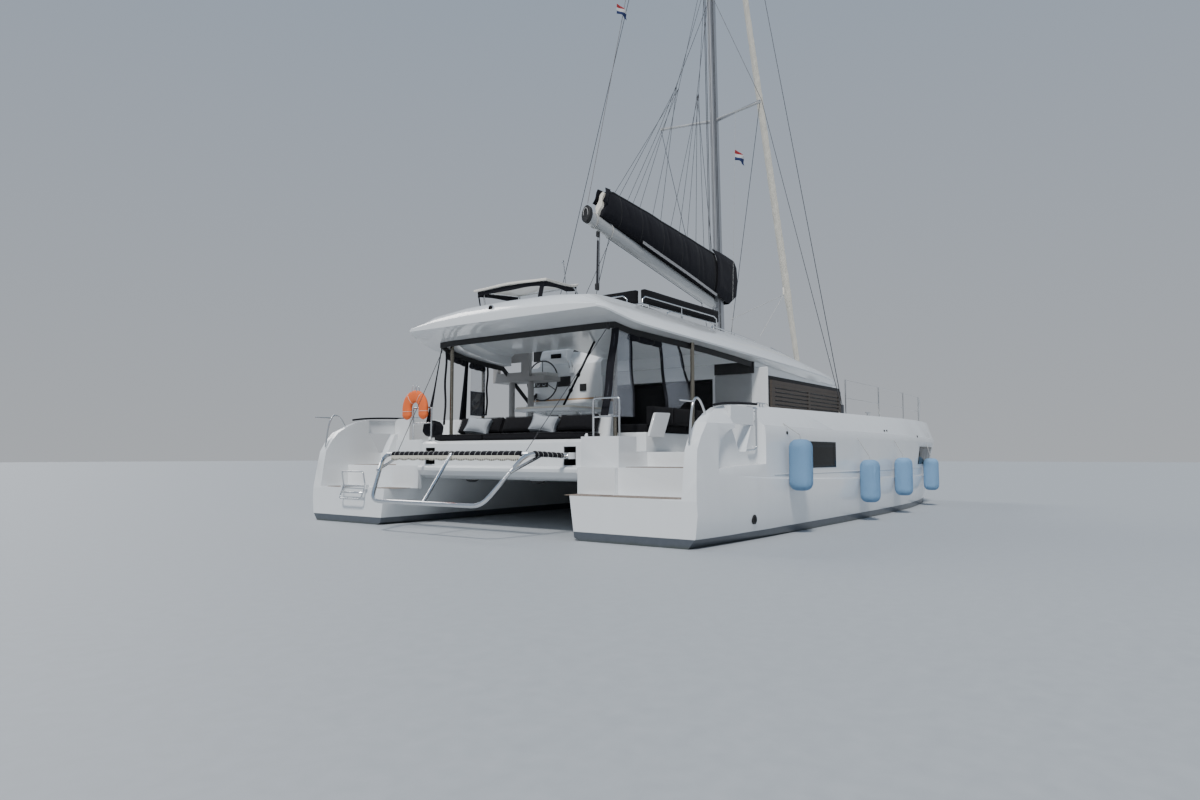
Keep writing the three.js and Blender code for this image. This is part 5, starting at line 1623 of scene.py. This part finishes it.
@dataclass(frozen=True)
class Fenders:
    """Four fenders in knitted covers, each on a line from the rail.

    Args:
        rows: The place along the boat, the middle height, the length and the radius of each.
    """

    rows: tuple[tuple[float, float, float, float], ...] = (
        (-3.9, 0.968, 0.72, 0.165),
        (-0.95, 0.67, 0.72, 0.165),
        (1.18, 0.7, 0.72, 0.165),
        (4.0, 0.69, 0.7, 0.16),
    )

    def build(self) -> None:
        """Makes each fender and its line, set against the hull where its node is."""
        for number, (x, z, length, radius) in enumerate(self.rows, 1):
            low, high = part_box(f"fender_{number}")
            y = (low[1] + high[1]) / 2
            self._cover(number, Vector((x, y, z)), length, radius - 0.002)
            self._line(number, Vector((x, y, z + length / 2)))

    @staticmethod
    def _cover(number: int, middle: Vector, length: float, radius: float) -> None:
        """The knitted cover, gathered over both of the fender's round ends.

        Args:
            number: The fender's number.
            middle: Its middle.
            length: Its length.
            radius: Its radius.
        """
        def surface(u: float, v: float) -> Point:
            """A point of the cover."""
            share = abs(2 * v - 1)
            shoulder = 0.66
            if share < shoulder:
                thick, rise = radius, length / 2 * share
            else:
                turn = (share - shoulder) / (1 - shoulder) * pi / 2
                thick = radius * (0.12 + 0.88 * cos(turn) ** 0.7) if share < 1 else 0.0
                rise = length / 2 * (shoulder + (1 - shoulder) * sin(turn))
            angle = TAU * u
            gather = 1 + 0.05 * sin(16 * angle) * max(0.0, share - 0.86) / 0.14
            slack = 1 + 0.012 * noise.noise(Vector((cos(angle), sin(angle), 5 * v + number)))
            thick *= gather * slack
            return middle + Vector((thick * cos(angle), thick * sin(angle), copysign(rise, v - 0.5)))

        cover = sheeted(f"fender_cover_{number}", 48, 34, surface, closed=True)
        shown(cover, KNIT, "root", f"fender_{number}")

    @staticmethod
    def _line(number: int, head: Vector) -> None:
        """The eye at the top and the line up to the deck's edge."""
        edge = Probe("hull_starboard").top(head.x, -3.66)
        top = Vector((head.x + 0.03, -3.5, edge.z + 0.32 if head.x > -0.6 else 1.86))
        run = [head - upward(0.01), head + Vector((0.0, 0.01, 0.06)),
               Vector((head.x, edge.y - 0.012, edge.z - 0.1)),
               Vector((head.x + 0.01, edge.y + 0.06, edge.z + 0.012)), top]
        lines(f"fender_line_{number}", [run], 0.006, BRAID)


@dataclass(frozen=True)
class Buoy:
    """The horseshoe buoy in its cover, with bands and its holder on the stern rail."""

    def build(self) -> None:
        """Makes the cushioned horseshoe and what holds it."""
        low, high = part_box("horseshoe_buoy")
        outer, inner = (high[1] - low[1]) / 2, 0.1
        centre = Vector(((low[0] + high[0]) / 2, (low[1] + high[1]) / 2, high[2] - outer))
        leg = centre.z - low[2]
        middle_r, tube, thick = (outer + inner) / 2, (outer - inner) / 2, (high[0] - low[0]) / 2
        bend = pi * middle_r
        total = 2 * leg + bend
        squareness = 0.8

        def spot(s: float) -> tuple[Vector, Vector]:
            """The middle of the buoy's tube at a distance along it, and the way outwards."""
            if s < leg:
                return centre + Vector((0, middle_r, s - leg)), Vector((0, 1, 0))
            if s < leg + bend:
                a = (s - leg) / middle_r
                out = Vector((0, cos(a), sin(a)))
                return centre + out * middle_r, out
            return centre + Vector((0, -middle_r, -(s - leg - bend))), Vector((0, -1, 0))

        def surface(u: float, v: float) -> Point:
            """A point of the cover."""
            place, out = spot(total * v)
            end = min(1.0, 14 * min(v, 1 - v)) ** 0.5
            crease = 1 + 0.03 * noise.noise(Vector((4 * u, 22 * v, 1.0)))
            angle = TAU * u
            across = copysign(abs(cos(angle)) ** squareness, cos(angle)) * tube * end * crease
            deep = copysign(abs(sin(angle)) ** squareness, sin(angle)) * thick * 0.98 * end
            return place + out * across + Vector((deep, 0, 0))

        cover = sheeted("buoy_cover_cloth", 24, 70, surface, closed=True)
        shown(cover, BUOY_COVER, "root", "horseshoe_buoy")
        for number, share in enumerate((0.14, 0.38, 0.62, 0.86), 1):
            place, out = spot(total * share)
            band = [place + out * cos(a) * (tube + 0.002) + Vector((sin(a) * (thick + 0.002), 0, 0))
                    for a in turns(20, True)]
            lines(f"buoy_band_{number}", [band], 0.004, SAILCLOTH, "root", 1)
        top = high[2]
        hoops = []
        for shift in (-0.05, 0.05):
            x = centre.x + shift * 0.6
            hoops.append([(x, centre.y + out, top + rise) for out, rise in
                          ((-0.07, -0.1), (-0.06, 0.05), (0.0, 0.085), (0.06, 0.05), (0.07, -0.1))])
        lines("buoy_holder", hoops, 0.007, STAINLESS, smooth=True)


@dataclass(frozen=True)
class Rigging:
    """Running rigging, diagonals, lazy jacks, two small flags and the lines that are led to the hard top.

    Args:
        thin: The radius of light lines.
    """

    thin: float = 0.006

    @staticmethod
    def mast(z: float, fore: float = 0.0) -> Vector:
        """The mast's middle line at a height, or a place before it."""
        return Vector((1.364 - 0.034 * (z - 3.27) + fore, 0.0, z))

    def build(self) -> None:
        """Makes each group of lines."""
        lift = ((-3.56, 0.0, 5.56), self.mast(20.45, -0.2))
        shared_lines("topping_lift", [lift], self.thin, LIFT_BRAID, "boom")
        self._diagonals()
        self._jacks()
        self._sheet()
        self._halyards()
        self._flags()

    def _diagonals(self) -> None:
        """The wires from the spreaders' tips to the roof, and the fairings out to those tips."""
        runs = [[(0.9, side.value * 1.255, 8.7), (1.36, side.value * 0.24, 3.62)] for side in Side]
        lines("diagonals", runs, self.thin, RIG_WIRE)
        spreaders = [[self.mast(8.7, -0.02) + Vector((0, side.value * 0.07, 0)),
                      (0.9, side.value * 1.26, 8.7)] for side in Side]
        lines("spreader_fairings", spreaders, 0.03, PALE_SPAR)

    def _jacks(self) -> None:
        """The lines that hold the bag's top edges up."""
        bag = SailBag()
        places = {Side.STARBOARD: ((-0.66, 8.77), (0.2, 8.94)), Side.PORT: ((-0.21, 8.96), (0.66, 9.18))}
        runs = []
        for side, forks in places.items():
            upper = self.mast(12.4) + Vector((-0.05, side.value * 0.09, 0.0))
            for (x, z), ties in zip(forks, (bag.ties[3:], bag.ties[:3])):
                fork = Vector((x, side.value * 0.11, z))
                runs.append([fork, upper])
                runs += [[bag.skin(side.value * bag.edge, tie), fork] for tie in ties]
        shared_lines("lazy_jacks", runs, 0.005, DARK_BRAID, "boom")

    def _sheet(self) -> None:
        """The mainsheet with its blocks and its dark sleeve, the line beside it and the reefing line."""
        bag = SailBag()
        hang = bag.along(0.934) - upward(0.135)
        foot = Vector((-4.78, -1.12, 3.68))
        block = hang.lerp(foot, 0.07)
        runs = [[hang, foot], [hang + Vector((0.05, 0, 0)), foot + Vector((0.05, 0, 0))]]
        shared_lines("mainsheet", runs, 0.006, DARK_BRAID, "boom")
        shared_lines("mainsheet_sleeve", [[hang.lerp(foot, 0.2), foot]], 0.019, BAG_CLOTH, "boom")
        half = Vector((0.045, 0.02, 0.055))
        for name, place, body in (("upper", block, "boom"), ("lower", foot + upward(0.03), "root")):
            shown(rounded_box(f"mainsheet_block_{name}", place - half, place + half, 0.018), RUBBER, body)
        tail = (bag.along(0.862) - upward(0.14), Vector((-3.3, 0.02, 3.92)))
        shared_lines("preventer_line", [tail], self.thin, DARK_BRAID, "boom")
        reef = bag.along(0.86) - upward(0.15)
        lines("reef_line", [[reef, bag.along(0.12) - upward(0.16)]], self.thin, DARK_BRAID, "boom")

    def _halyards(self) -> None:
        """Lines up both sides of the mast, and the track on its after face."""
        runs = []
        for side in Side:
            for back, top in ((-0.13, 18.6), (-0.09, 17.6)):
                offset = Vector((back, side.value * 0.075, 0.0))
                runs.append([self.mast(3.7) + offset, self.mast(5.9) + offset * 1.5, self.mast(top) + offset])
        lines("halyards", runs, 0.007, DARK_BRAID)
        track = [self.mast(z, -0.152) for z in (5.7, 20.3)]
        shown(swept("mast_track", track, flat_section(0.016, 0.006)), ANODISED)

    def _flags(self) -> None:
        """A small flag on the topping lift and one under the starboard spreader, on its halyard."""
        top, foot = Vector((0.8, -0.72, 8.62)), Vector((1.25, -0.35, 3.66))
        lines("flag_halyard", [[top, foot]], 0.003, BRAID)
        self._flag("spreader", top.lerp(foot, 0.17), 0.36)
        flag = self._flag("lift", Vector((-2.66, 0.0, 9.66)), 0.3)
        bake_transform(flag)

    @staticmethod
    def _flag(name: str, head: Vector, size: float) -> Piece:
        """A flag that droops from its hoist in soft folds.

        Args:
            name: What its name ends in.
            head: The upper corner at its hoist.
            size: Its length.

        Returns:
            The flag.
        """
        tall = 0.66 * size

        def surface(u: float, v: float) -> Point:
            """A point of the flag."""
            wave = 0.1 * size * sin(7 * u + 2 * v) * u
            return (head.x + 0.75 * size * u, head.y + wave - 0.3 * size * u,
                    head.z - tall * v * (1 - 0.4 * u) - 0.45 * size * u * u)

        flag = sheeted(f"flag_{name}", 12, 8, surface, thick=0.001)
        dressed(flag, Bunting(f"bunting_{name}", "buoy_cover", (0.3, 0.02, 0.025), 0.8, head.z, tall))
        if name != "lift":
            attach(flag, "root")
        return flag


@dataclass(frozen=True)
class Trampolines:
    """The two sagging nets between the hulls forward, with their hems and lacing.

    Args:
        sag: How far each net hangs in its middle.
    """

    sag: float = 0.035

    def build(self) -> None:
        """Makes each side's net from the plan of its node."""
        for side in Side:
            node = f"trampoline_{side.word}"
            low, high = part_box(node)
            probe = Probe(f"hull_{side.word}")
            x0, x1 = low[0] + 0.045, high[0] - 0.045
            top = high[2] - 0.003
            inner = 0.14 + 0.045

            def edge(x: float) -> float:
                """How far out the net's hem lies."""
                return abs(probe.hit((x, 0.0, top - 0.004), (0, side.value, 0)).y) - 0.045

            def surface(u: float, v: float) -> Point:
                """A point of the net."""
                x = x0 + (x1 - x0) * v
                y = inner + (edge(x) - inner) * u
                drop = self.sag * 16 * u * (1 - u) * v * (1 - v)
                return x, side.value * y, top - drop

            net = shown(sheeted(node + "_net", 22, 30, surface, thick=0.004), NET, "root", node)
            wide = edge((x0 + x1) / 2) - inner
            self._lacing(side, (x0, x1), edge, inner, top)

    @staticmethod
    def _lacing(side: Side, limits: Pair, edge: Callable[[float], float], inner: float,
                top: float) -> None:
        """The hem cord and the zigzag that laces the net to the hull and the spine.

        Args:
            side: The side of the boat.
            limits: The net's two limits along the boat.
            edge: How far out its outer hem lies at a place along the boat.
            inner: How far out its inner hem lies.
            top: Its height.
        """
        x0, x1 = limits
        count = 26
        gap = 0.042
        runs = []
        for hem, out in ((edge, gap), (lambda x: inner, -gap)):
            for parts, reach, lift in ((count, out, 0.004), (10, 0.0, 0.002)):
                places = [x0 + (x1 - x0) * k / parts for k in range(parts + 1)]
                runs.append([(x, side.value * (hem(x) + (0.0 if k % 2 else reach)), top + lift)
                             for k, x in enumerate(places)])
        lines(f"net_lacing_{side.word}", runs, 0.004, BRAID)


@dataclass(frozen=True)
class DavitDressing:
    """The padded sleeve with its lashing and net fringe on the davit's top bar, and its lifting lines.

    Args:
        bar: The place of the top bar along the boat and its height.
        reach: How far out the sleeve goes on each side.
    """

    bar: Pair = (-6.7, 1.125)
    reach: float = 1.3

    def build(self) -> None:
        """Makes the sleeve, the fringe, the end caps and the lines."""
        x, z = self.bar

        def surface(u: float, v: float) -> Point:
            """A point of the bar's sleeve."""
            angle = TAU * u
            thick = 0.036 * (1 + 0.05 * sin(60 * v) + 0.08 * noise.noise(Vector((0, 22 * v, 2 * u))))
            return x + thick * cos(angle), self.reach * (2 * v - 1), z + thick * sin(angle)

        sleeve = shown(sheeted("davit_sleeve", 14, 90, surface, closed=True), BAG_CLOTH, "davit")
        start, end = Vector((x + 0.1, -1.44, z - 0.002)), Vector((-6.02, -1.44, 1.101))

        def arm(u: float, v: float) -> Point:
            """A point of the arm's sleeve."""
            thick = 0.037 * (1 + 0.05 * sin(22 * v) + 0.06 * noise.noise(Vector((5 * v, 3.0, 2 * u))))
            return start.lerp(end, v) + Vector((0, cos(TAU * u), sin(TAU * u))) * thick

        sleeve = shown(sheeted("davit_arm_sleeve", 14, 20, arm, closed=True), BAG_CLOTH, "davit")
        wound = [start.lerp(end, k / 48) + Vector((0, cos(TAU * k / 8), sin(TAU * k / 8))) * 0.042
                 for k in range(49)]
        lines("davit_arm_lashing", [wound], 0.0035, BRAID, "davit", 1)
        laps = 24
        lash = [(x + 0.041 * cos(TAU * k / 8), self.reach * (k / (4 * laps) - 1) * 0.98,
                 z + 0.041 * sin(TAU * k / 8)) for k in range(8 * laps + 1)]
        lines("davit_lashing", [lash], 0.0035, BRAID, "davit", 1)

        def fringe(u: float, v: float) -> Point:
            """A point of the fringe."""
            y = self.reach * (2 * v - 1)
            scallop = 0.5 + 0.5 * abs(sin(13 * pi * v))
            return x - 0.03 - 0.012 * u, y, z - 0.024 - 0.075 * u * (0.55 + 0.45 * scallop)

        net = shown(sheeted("davit_net_fringe", 6, 104, fringe, thick=0.003), LIGHT_NET, "davit")
        self._lifting_lines()

    def _lifting_lines(self) -> None:
        """A lifting line on each side, from the davit's arm to its block under the roof."""
        for side, arm, head in ((Side.STARBOARD, (-6.761, -1.44, 1.155), (-5.42, -1.8, 2.95)),
                                (Side.PORT, (-6.5, 1.44, 1.16), (-5.25, 1.8, 2.96))):
            path = [Vector(arm).lerp(Vector(head), k / 12) for k in range(13)]
            fall = dressed(swept(f"davit_fall_{side.word}", path, round_section(0.005, 8), 60.0), DARK_BRAID)
            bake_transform(fall)
            middle, half = Vector(head), Vector((0.03, 0.015, 0.05))
            boxes((f"davit_block_{side.word}", middle - half, middle + half, 0.012, RUBBER))


@dataclass(frozen=True)
class HelmDressing:
    """The helm's padding, instruments, throttle and trim, and the valance and straps under the hard top."""

    def build(self) -> None:
        """Dresses the console, the seat, the wheel and the hard top."""
        self._console()
        self._pod()
        self._seat()
        self._hard_top()

    @staticmethod
    def _console() -> None:
        """A tan band round the console, dark panels with dials, the throttle and two grab rails."""
        low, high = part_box("helm_console")
        starboard, port = low[1] - 0.004, high[1] + 0.004
        band = [(x, y, 2.19) for x, y in ((-1.83, starboard), (low[0] + 0.145, starboard),
                                          (low[0] + 0.145, port), (-1.83, port))]
        shown(swept("console_band", band, flat_section(0.006, 0.035)), TAN)
        face = -2.287
        for name, y0, y1, z0, z1 in (("instruments", 1.98, 2.32, 2.48, 2.78),
                                     ("switches", 1.4, 1.72, 2.47, 2.67),
                                     ("engine_panel", 1.0, 1.16, 2.36, 2.5)):
            boxes((f"helm_{name}", (face - 0.012, y0, z0), (face + 0.006, y1, z1), 0.005, RUBBER))
        dials = [[(face - 0.014, y + 0.05 * cos(a), z + 0.05 * sin(a)) for a in turns(20, True)]
                 for y, z in ((2.07, 2.7), (2.23, 2.7), (2.07, 2.56), (2.23, 2.56))]
        lines("helm_dial_rims", dials, 0.005, STAINLESS, "root", 1)
        boxes(("throttle_base", (face - 0.05, 1.28, 2.72), (face + 0.006, 1.4, 2.86), 0.015, SMOOTH_WHITE))
        levers = [[(face - 0.03, y, 2.8), (face - 0.09, y, 2.93), (face - 0.1, y, 2.97)] for y in (1.3, 1.38)]
        lines("throttle_levers", levers, 0.011, STAINLESS)
        rails = [[(face - 0.01, y, 2.25), (-2.42, y, 2.05), (-2.44, y, 1.35), (face - 0.14, y, 1.2)]
                 for y in (0.78, 2.28)]
        lines("console_grab_rails", rails, 0.012, STAINLESS, smooth=True)

    @staticmethod
    def _pod() -> None:
        """The pod's dark screen, the dark hood beside it and the compass."""
        boxes(("helm_screen", (-2.352, 1.6, 3.04), (-2.325, 1.86, 3.13), 0.008, WINDOW),
              ("helm_screen_hood", (-2.24, 2.2, 3.02), (-2.19, 2.42, 3.3), 0.015, RUBBER))
        shown(dome("helm_compass", (-2.16, 1.36, 3.165), (0.055, 0.055, 0.05), 18, 6), WINDOW)

    @staticmethod
    def _seat() -> None:
        """The helm bench's seat pads and the pads on its rest, over and under its slot."""
        top = 2.61
        for number, (y0, y1) in enumerate(((1.32, 1.94), (1.96, 2.59)), 1):
            pad = Cushion(f"helm_seat_pad_{number}", (0.36, y1 - y0, 0.07),
                          (-2.93, (y0 + y1) / 2, top + 0.038), crown=0.012, corner=0.02)
            pad.build(HELM_PAD)
        for number, (y0, y1) in enumerate(((1.69, 2.14), (2.16, 2.6)), 1):
            pad = Cushion(f"helm_rest_pad_{number}", (0.17, y1 - y0, 0.05), (-3.1, (y0 + y1) / 2, 3.0),
                          (0.0, 90.0, 0.0), crown=0.01, corner=0.016)
            pad.build(HELM_PAD)

    @staticmethod
    def _hard_top() -> None:
        """The black valance hung under the hard top's edge, and the straps at its corners."""
        probe = Probe("helm_hardtop")
        edge = [(-2.56, 1.05), (-3.0, 0.95), (-3.4, 0.855), (-3.78, 0.775), (-3.8, 0.83), (-3.8, 1.3),
                (-3.8, 1.8), (-3.8, 2.3), (-3.8, 2.45), (-3.76, 2.5), (-3.3, 2.5), (-2.9, 2.5), (-2.56, 2.5)]
        path = [probe.hit((x, y, 3.8), (0, 0, 1)) - upward(0.003) for x, y in edge]

        def valance(u: float, v: float) -> Point:
            """A point of the valance."""
            step = v * (len(path) - 1)
            k = min(int(step), len(path) - 2)
            place = path[k].lerp(path[k + 1], step - k)
            return place.x, place.y, place.z - u * (0.085 + 0.012 * sin(step * 2.4))

        skirt = shown(sheeted("hardtop_valance", 4, 96, valance, thick=0.008), BAG_CLOTH)
        straps = [(path[4], Vector((-3.83, 0.98, 3.5)), 0.1), (path[-4], Vector((-3.66, 2.42, 3.45)), 0.03),
                  (path[0], Vector((-2.52, 1.12, 3.55)), 0.025)]
        for number, (head, foot, width) in enumerate(straps, 1):
            run = [head, head.lerp(foot, 0.5) + Vector((0.01, 0.01, 0)), foot]
            shown(swept(f"hardtop_strap_{number}", run, flat_section(0.004, width / 2), 60.0), BAG_CLOTH)


@dataclass(frozen=True)
class WingRails:
    """The bent handrails on the transom wings and the slack line in a dark sleeve over each gate."""

    def build(self) -> None:
        """Makes them on both sides."""
        rail = ((-6.29, 1.24), (-6.27, 1.367), (-6.245, 1.56), (-6.218, 1.68), (-6.15, 1.8), (-6.05, 1.8),
                (-5.94, 1.69), (-5.89, 1.6))
        branch = ((-6.19, 1.752), (-6.5, 1.752))
        cover = ((-5.72, 1.735), (-5.5, 1.768), (-5.1, 1.79), (-4.7, 1.802), (-4.5, 1.803))
        for side in Side:
            for name, places, out, radius, finish, smooth in (
                    ("wing_handrail", rail, 3.62, 0.0145, STAINLESS, True),
                    ("wing_handrail_branch", branch, 3.62, 0.011, STAINLESS, False),
                    ("gate_line", cover, 3.65, 0.017, BAG_CLOTH, True)):
                run = [(x, side.value * out, z) for x, z in places]
                lines(f"{name}_{side.word}", [run], radius, finish, smooth=smooth)


@dataclass(frozen=True)
class DeckDetails:
    """Teak treads, lights, vents, deck hatches, cleats, rails and other small fittings."""

    def build(self) -> None:
        """Makes each group on both sides."""
        for side in Side:
            self._treads(side)
            self._hull_marks(side)
            self._deck_fittings(side)
        self._stern()
        self._bulkhead()
        self._roof_rails()
        self._cockpit()
        self._bow()

    @staticmethod
    def _tread(name: str, side: Side, limits: tuple[float, float, float, float], z: float) -> None:
        """A thin teak pad with rounded corners.

        Args:
            name: Its name.
            side: The side of the boat.
            limits: Its two limits along the boat, then its inner and outer edge.
            z: The height it lies at.
        """
        x0, x1, out0, out1 = limits
        outline = rounded(rectangle(x0, out0, x1, out1), 0.05, 4)
        shown(plate(name, outline, 0.006, lambda u, v, depth: (u, side.value * v, z + 0.0005 + depth)), TEAK)

    def _treads(self, side: Side) -> None:
        """The pads of the swim platform, the port one clear of the ladder, and of the step above it."""
        inner = 2.34 if side is Side.STARBOARD else 2.96
        for name, limits, z in (("platform", (-6.33, -5.98, inner, 3.5), 0.575),
                                ("toe", (-6.33, -5.98, 1.72, 2.3), 0.575),
                                ("step", (-5.8, -5.21, 2.34, 3.5), 0.94)):
            self._tread(f"tread_{name}_{side.word}", side, limits, z)

    @staticmethod
    def _hull_marks(side: Side) -> None:
        """The exhaust outlet's ring and a dark disc as painted shade in its bore, the vents near the sheer and
        the ledge's bright edge.
        """
        probe = Probe(f"hull_{side.word}")

        def on(x: float, z: float, lift: float = 0.003) -> Vector:
            """A place just off the topside."""
            return probe.flank(side, x, z) + Vector((0, side.value * lift, 0))

        def disc(name: str, x: float, z: float, radius: float, finish: Finish, lift: float) -> None:
            """Makes a round plate on the topside."""
            middle, out = on(x, z), Vector((0, side.value, 0))
            shown(swept(name, [middle - out * 0.012, middle + out * lift], round_section(radius, 20)), finish)

        disc(f"exhaust_ring_{side.word}", -4.99, 0.27, 0.062, RUBBER, 0.012)
        # A glossy dark disc stands in the exhaust's bore as painted shade.
        disc(f"exhaust_bore_{side.word}", -4.99, 0.27, 0.04, WINDOW, 0.0135)
        for number, (x, z) in enumerate(((0.771, 1.561), (0.93, 1.566), (-3.9, 1.42), (3.05, 1.5)), 1):
            disc(f"hull_vent_{side.word}_{number}", x, z, 0.024, RUBBER, 0.005)
        rail = [on(-4.35 + 10.2 * k / 60, 0.838, 0.0) for k in range(61)]
        lines(f"ledge_shine_{side.word}", [rail], 0.006, SMOOTH_WHITE)

    @staticmethod
    def _deck_fittings(side: Side) -> None:
        """Cleats and deck hatches."""
        probe = Probe(f"hull_{side.word}")
        for number, (x, out) in enumerate(((-4.3, 3.62), (0.35, 3.6), (5.2, 3.1)), 1):
            base = probe.top(x, side.value * out)
            shape = [[base + Vector((x0, 0, z0)), base + Vector((x1, 0, z1))] for x0, z0, x1, z1 in
                     ((-0.05, 0, -0.04, 0.045), (0.05, 0, 0.04, 0.045), (-0.13, 0.052, 0.13, 0.052))]
            lines(f"cleat_{side.word}_{number}", shape, 0.011, STAINLESS)
        for number, x in enumerate((3.15, 4.55), 1):
            top = probe.top(x, side.value * 2.55)
            outline = rounded(flat_section(0.24, 0.24), 0.06, 4)
            frame_piece = plate(f"deck_hatch_frame_{side.word}_{number}", outline, 0.03,
                                lambda u, v, depth: (top.x + u, top.y + v, top.z - 0.01 + depth))
            shown(softened(frame_piece, 0.006), ANODISED)
            lid = plate(f"deck_hatch_{side.word}_{number}", [(u * 0.86, v * 0.86) for u, v in outline], 0.01,
                        lambda u, v, depth: (top.x + u, top.y + v, top.z + 0.018 + depth))
            shown(softened(lid, 0.003), WINDOW)

    @staticmethod
    def _stern() -> None:
        """The lights of the roof's edge and the blocks, dark plates in the davit's pockets as painted shade, and
        the tunnel's pods.
        """
        roof = Probe("roof").hit((-9.0, 0.146, 3.365), (1, 0, 0))
        for name, deep, radius, finish in (("ring", 0.02, 0.05, STAINLESS), ("lens", 0.026, 0.035, WINDOW)):
            path = [roof, roof - Vector((deep, 0, 0))]
            shown(swept(f"stern_light_{name}", path, round_section(radius, 20)), finish)
        for side in Side:
            # Dark plates line the walls of each davit pocket as painted shade.
            for name, low, high in (("back", (-5.54, 1.333, 0.963), (-5.534, 1.547, 1.222)),
                                    ("top", (-5.84, 1.333, 1.218), (-5.534, 1.547, 1.222)),
                                    ("foot", (-5.84, 1.333, 0.963), (-5.534, 1.547, 0.967)),
                                    ("inner", (-5.84, 1.333, 0.963), (-5.534, 1.337, 1.222)),
                                    ("outer", (-5.84, 1.543, 0.963), (-5.534, 1.547, 1.222))):
                ys = sorted((side.value * low[1], side.value * high[1]))
                liner = rounded_box(f"davit_pocket_{name}_{side.word}", (low[0], ys[0], low[2]),
                                    (high[0], ys[1], high[2]), 0.001, 1)
                shown(liner, RUBBER)
            base = (-5.7, side.value * 1.62, 1.361)
            shown(dome(f"block_light_{side.word}", base, (0.026, 0.026, 0.05), 14, 5), SMOOTH_WHITE)
        for number, y in enumerate((0.75, -0.62), 1):
            def pod(u: float, v: float) -> Point:
                """A point of the pod."""
                angle, rise = TAU * u, pi * v
                return (-5.58 + 0.05 * sin(rise) * cos(angle), y + 0.14 * sin(rise) * sin(angle),
                        0.725 - 0.045 * cos(rise))

            shown(sheeted(f"tunnel_pod_{number}", 18, 10, pod, closed=True), RUBBER)
            lip = [pod(k / 24, 0.56) for k in range(25)]
            lines(f"tunnel_pod_lip_{number}", [lip], 0.009, SMOOTH_WHITE, "root", 1)

    @staticmethod
    def _roof_rails() -> None:
        """The looped rails behind the roof lounge's backs and the low grab rails nearer the roof's edge."""
        probe = Probe("roof")

        def foot(x: float, y: float) -> Vector:
            """The foot of a rail's post."""
            return probe.top(x, y) - upward(0.004)

        aft, side, high = -3.62, -1.22, 3.79
        runs = [
            [foot(aft, 0.15), (aft, 0.15, high - 0.06), (aft, 0.08, high), (aft, -0.8, high),
             (aft, -0.88, high - 0.06), foot(aft, -0.9)],
            [foot(-3.66, side), (-3.66, side, 3.68), (-3.58, side, 3.74), (-1.2, side, 3.74),
             (-1.1, side, 3.7), foot(-1.1, side)],
            [foot(-2.9, side), (-2.88, side, 3.57), (-2.78, side, 3.6), (-1.3, side, 3.6),
             (-1.22, side, 3.57), foot(-1.2, side)],
            [foot(-2.4, side), (-2.4, side, 3.74)],
            [foot(aft, -0.37), (aft, -0.37, high)],
        ]
        lines("lounge_side_rails", runs, 0.0125, STAINLESS)
        for boat_side in Side:
            grabs = []
            for x0, x1 in ((-2.15, -0.45), (0.3, 2.6)):
                out = boat_side.value * 1.7
                top = [foot(x0 + (x1 - x0) * k / 6, out) + upward(0.062) for k in range(7)]
                grabs.append([foot(x0 - 0.05, out)] + top + [foot(x1 + 0.05, out)])
                grabs.append([foot((x0 + x1) / 2, out), top[3]])
            lines(f"roof_grab_rails_{boat_side.word}", grabs, 0.011, STAINLESS)

    @staticmethod
    def _bulkhead() -> None:
        """The grey panel and the dark bar on the after face of the house, to starboard."""
        x = -1.804
        boxes(("bulkhead_panel", (x - 0.03, -2.28, 2.03), (x, -1.57, 2.53), 0.012, GREY_PANEL),
              ("bulkhead_bar", (x - 0.035, -2.33, 2.54), (x, -1.56, 2.745), 0.008, RUBBER))

    @staticmethod
    def _cockpit() -> None:
        """The table's pale top, the sofa's end panel, the leaning pole and the stowed cover."""
        low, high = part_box("cockpit_table")
        lip = 0.01
        outline = rounded(rectangle(low[0] - lip, low[1] - lip, high[0] + lip, high[1] + lip), 0.09)
        top = plate("table_top", outline, 0.034, lambda u, v, depth: (u, v, high[2] + 0.0005 + depth))
        shown(softened(top, 0.01), TABLE_TOP)
        panel = rounded([(-5.03, 1.365), (-4.63, 1.365), (-4.44, 1.73), (-4.85, 1.72)], 0.03, 3)
        end = plate("sofa_end_panel", panel, 0.04, lambda u, v, depth: (u, -2.19 - depth, v))
        shown(softened(end, 0.01), SMOOTH_WHITE)
        foot, middle, head = [Vector((-3.6, y, z)) for y, z in ((0.53, 1.945), (0.16, 2.53), (-0.2, 3.1))]
        lines("leaning_pole", [[foot, middle, head]], 0.02, BAG_CLOTH)
        clamps = [[middle.lerp(foot, t), middle.lerp(foot, t + 0.07)] for t in (0.0, 0.45)]
        lines("leaning_pole_clamps", clamps, 0.034, BAG_CLOTH)
        bundle = Cushion("stowed_cover", (0.27, 0.29, 0.22), (-5.41, 1.87, 1.547), (0.0, 12.0, 4.0),
                         crown=0.03, pinch=0.03, corner=0.07)
        bundle.build(BAG_CLOTH, fill=0.5)

    @staticmethod
    def _bow() -> None:
        """The anchor's shank over the spine's nose, and its chain."""
        low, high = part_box("bow_spine")
        nose = Vector((high[0] - 0.06, 0.0, high[2]))
        shank = [nose + Vector((x, 0, z)) for x, z in ((-0.62, 0.055), (-0.1, 0.05), (-0.015, -0.02))]
        lines("anchor_shank", [shank], 0.02, GALVANISED)
        chain = [(nose.x - 0.62 - 0.05 * k, 0.009 * (-1) ** k, nose.z + 0.045) for k in range(26)]
        lines("anchor_chain", [chain], 0.009, GALVANISED)


def main() -> None:
    """Builds the studio and the boat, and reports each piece."""
    logging.basicConfig(level=logging.INFO, format="%(name)s: %(message)s")
    Studio().build()
    for assembly in (Shell, HullGlass, Enclosure, CockpitCushions, SailBag, Headsail, Fenders, Buoy, Rigging,
                     Trampolines, DavitDressing, HelmDressing, WingRails, DeckDetails):
        assembly().build()


if __name__ == "__main__":
    main()
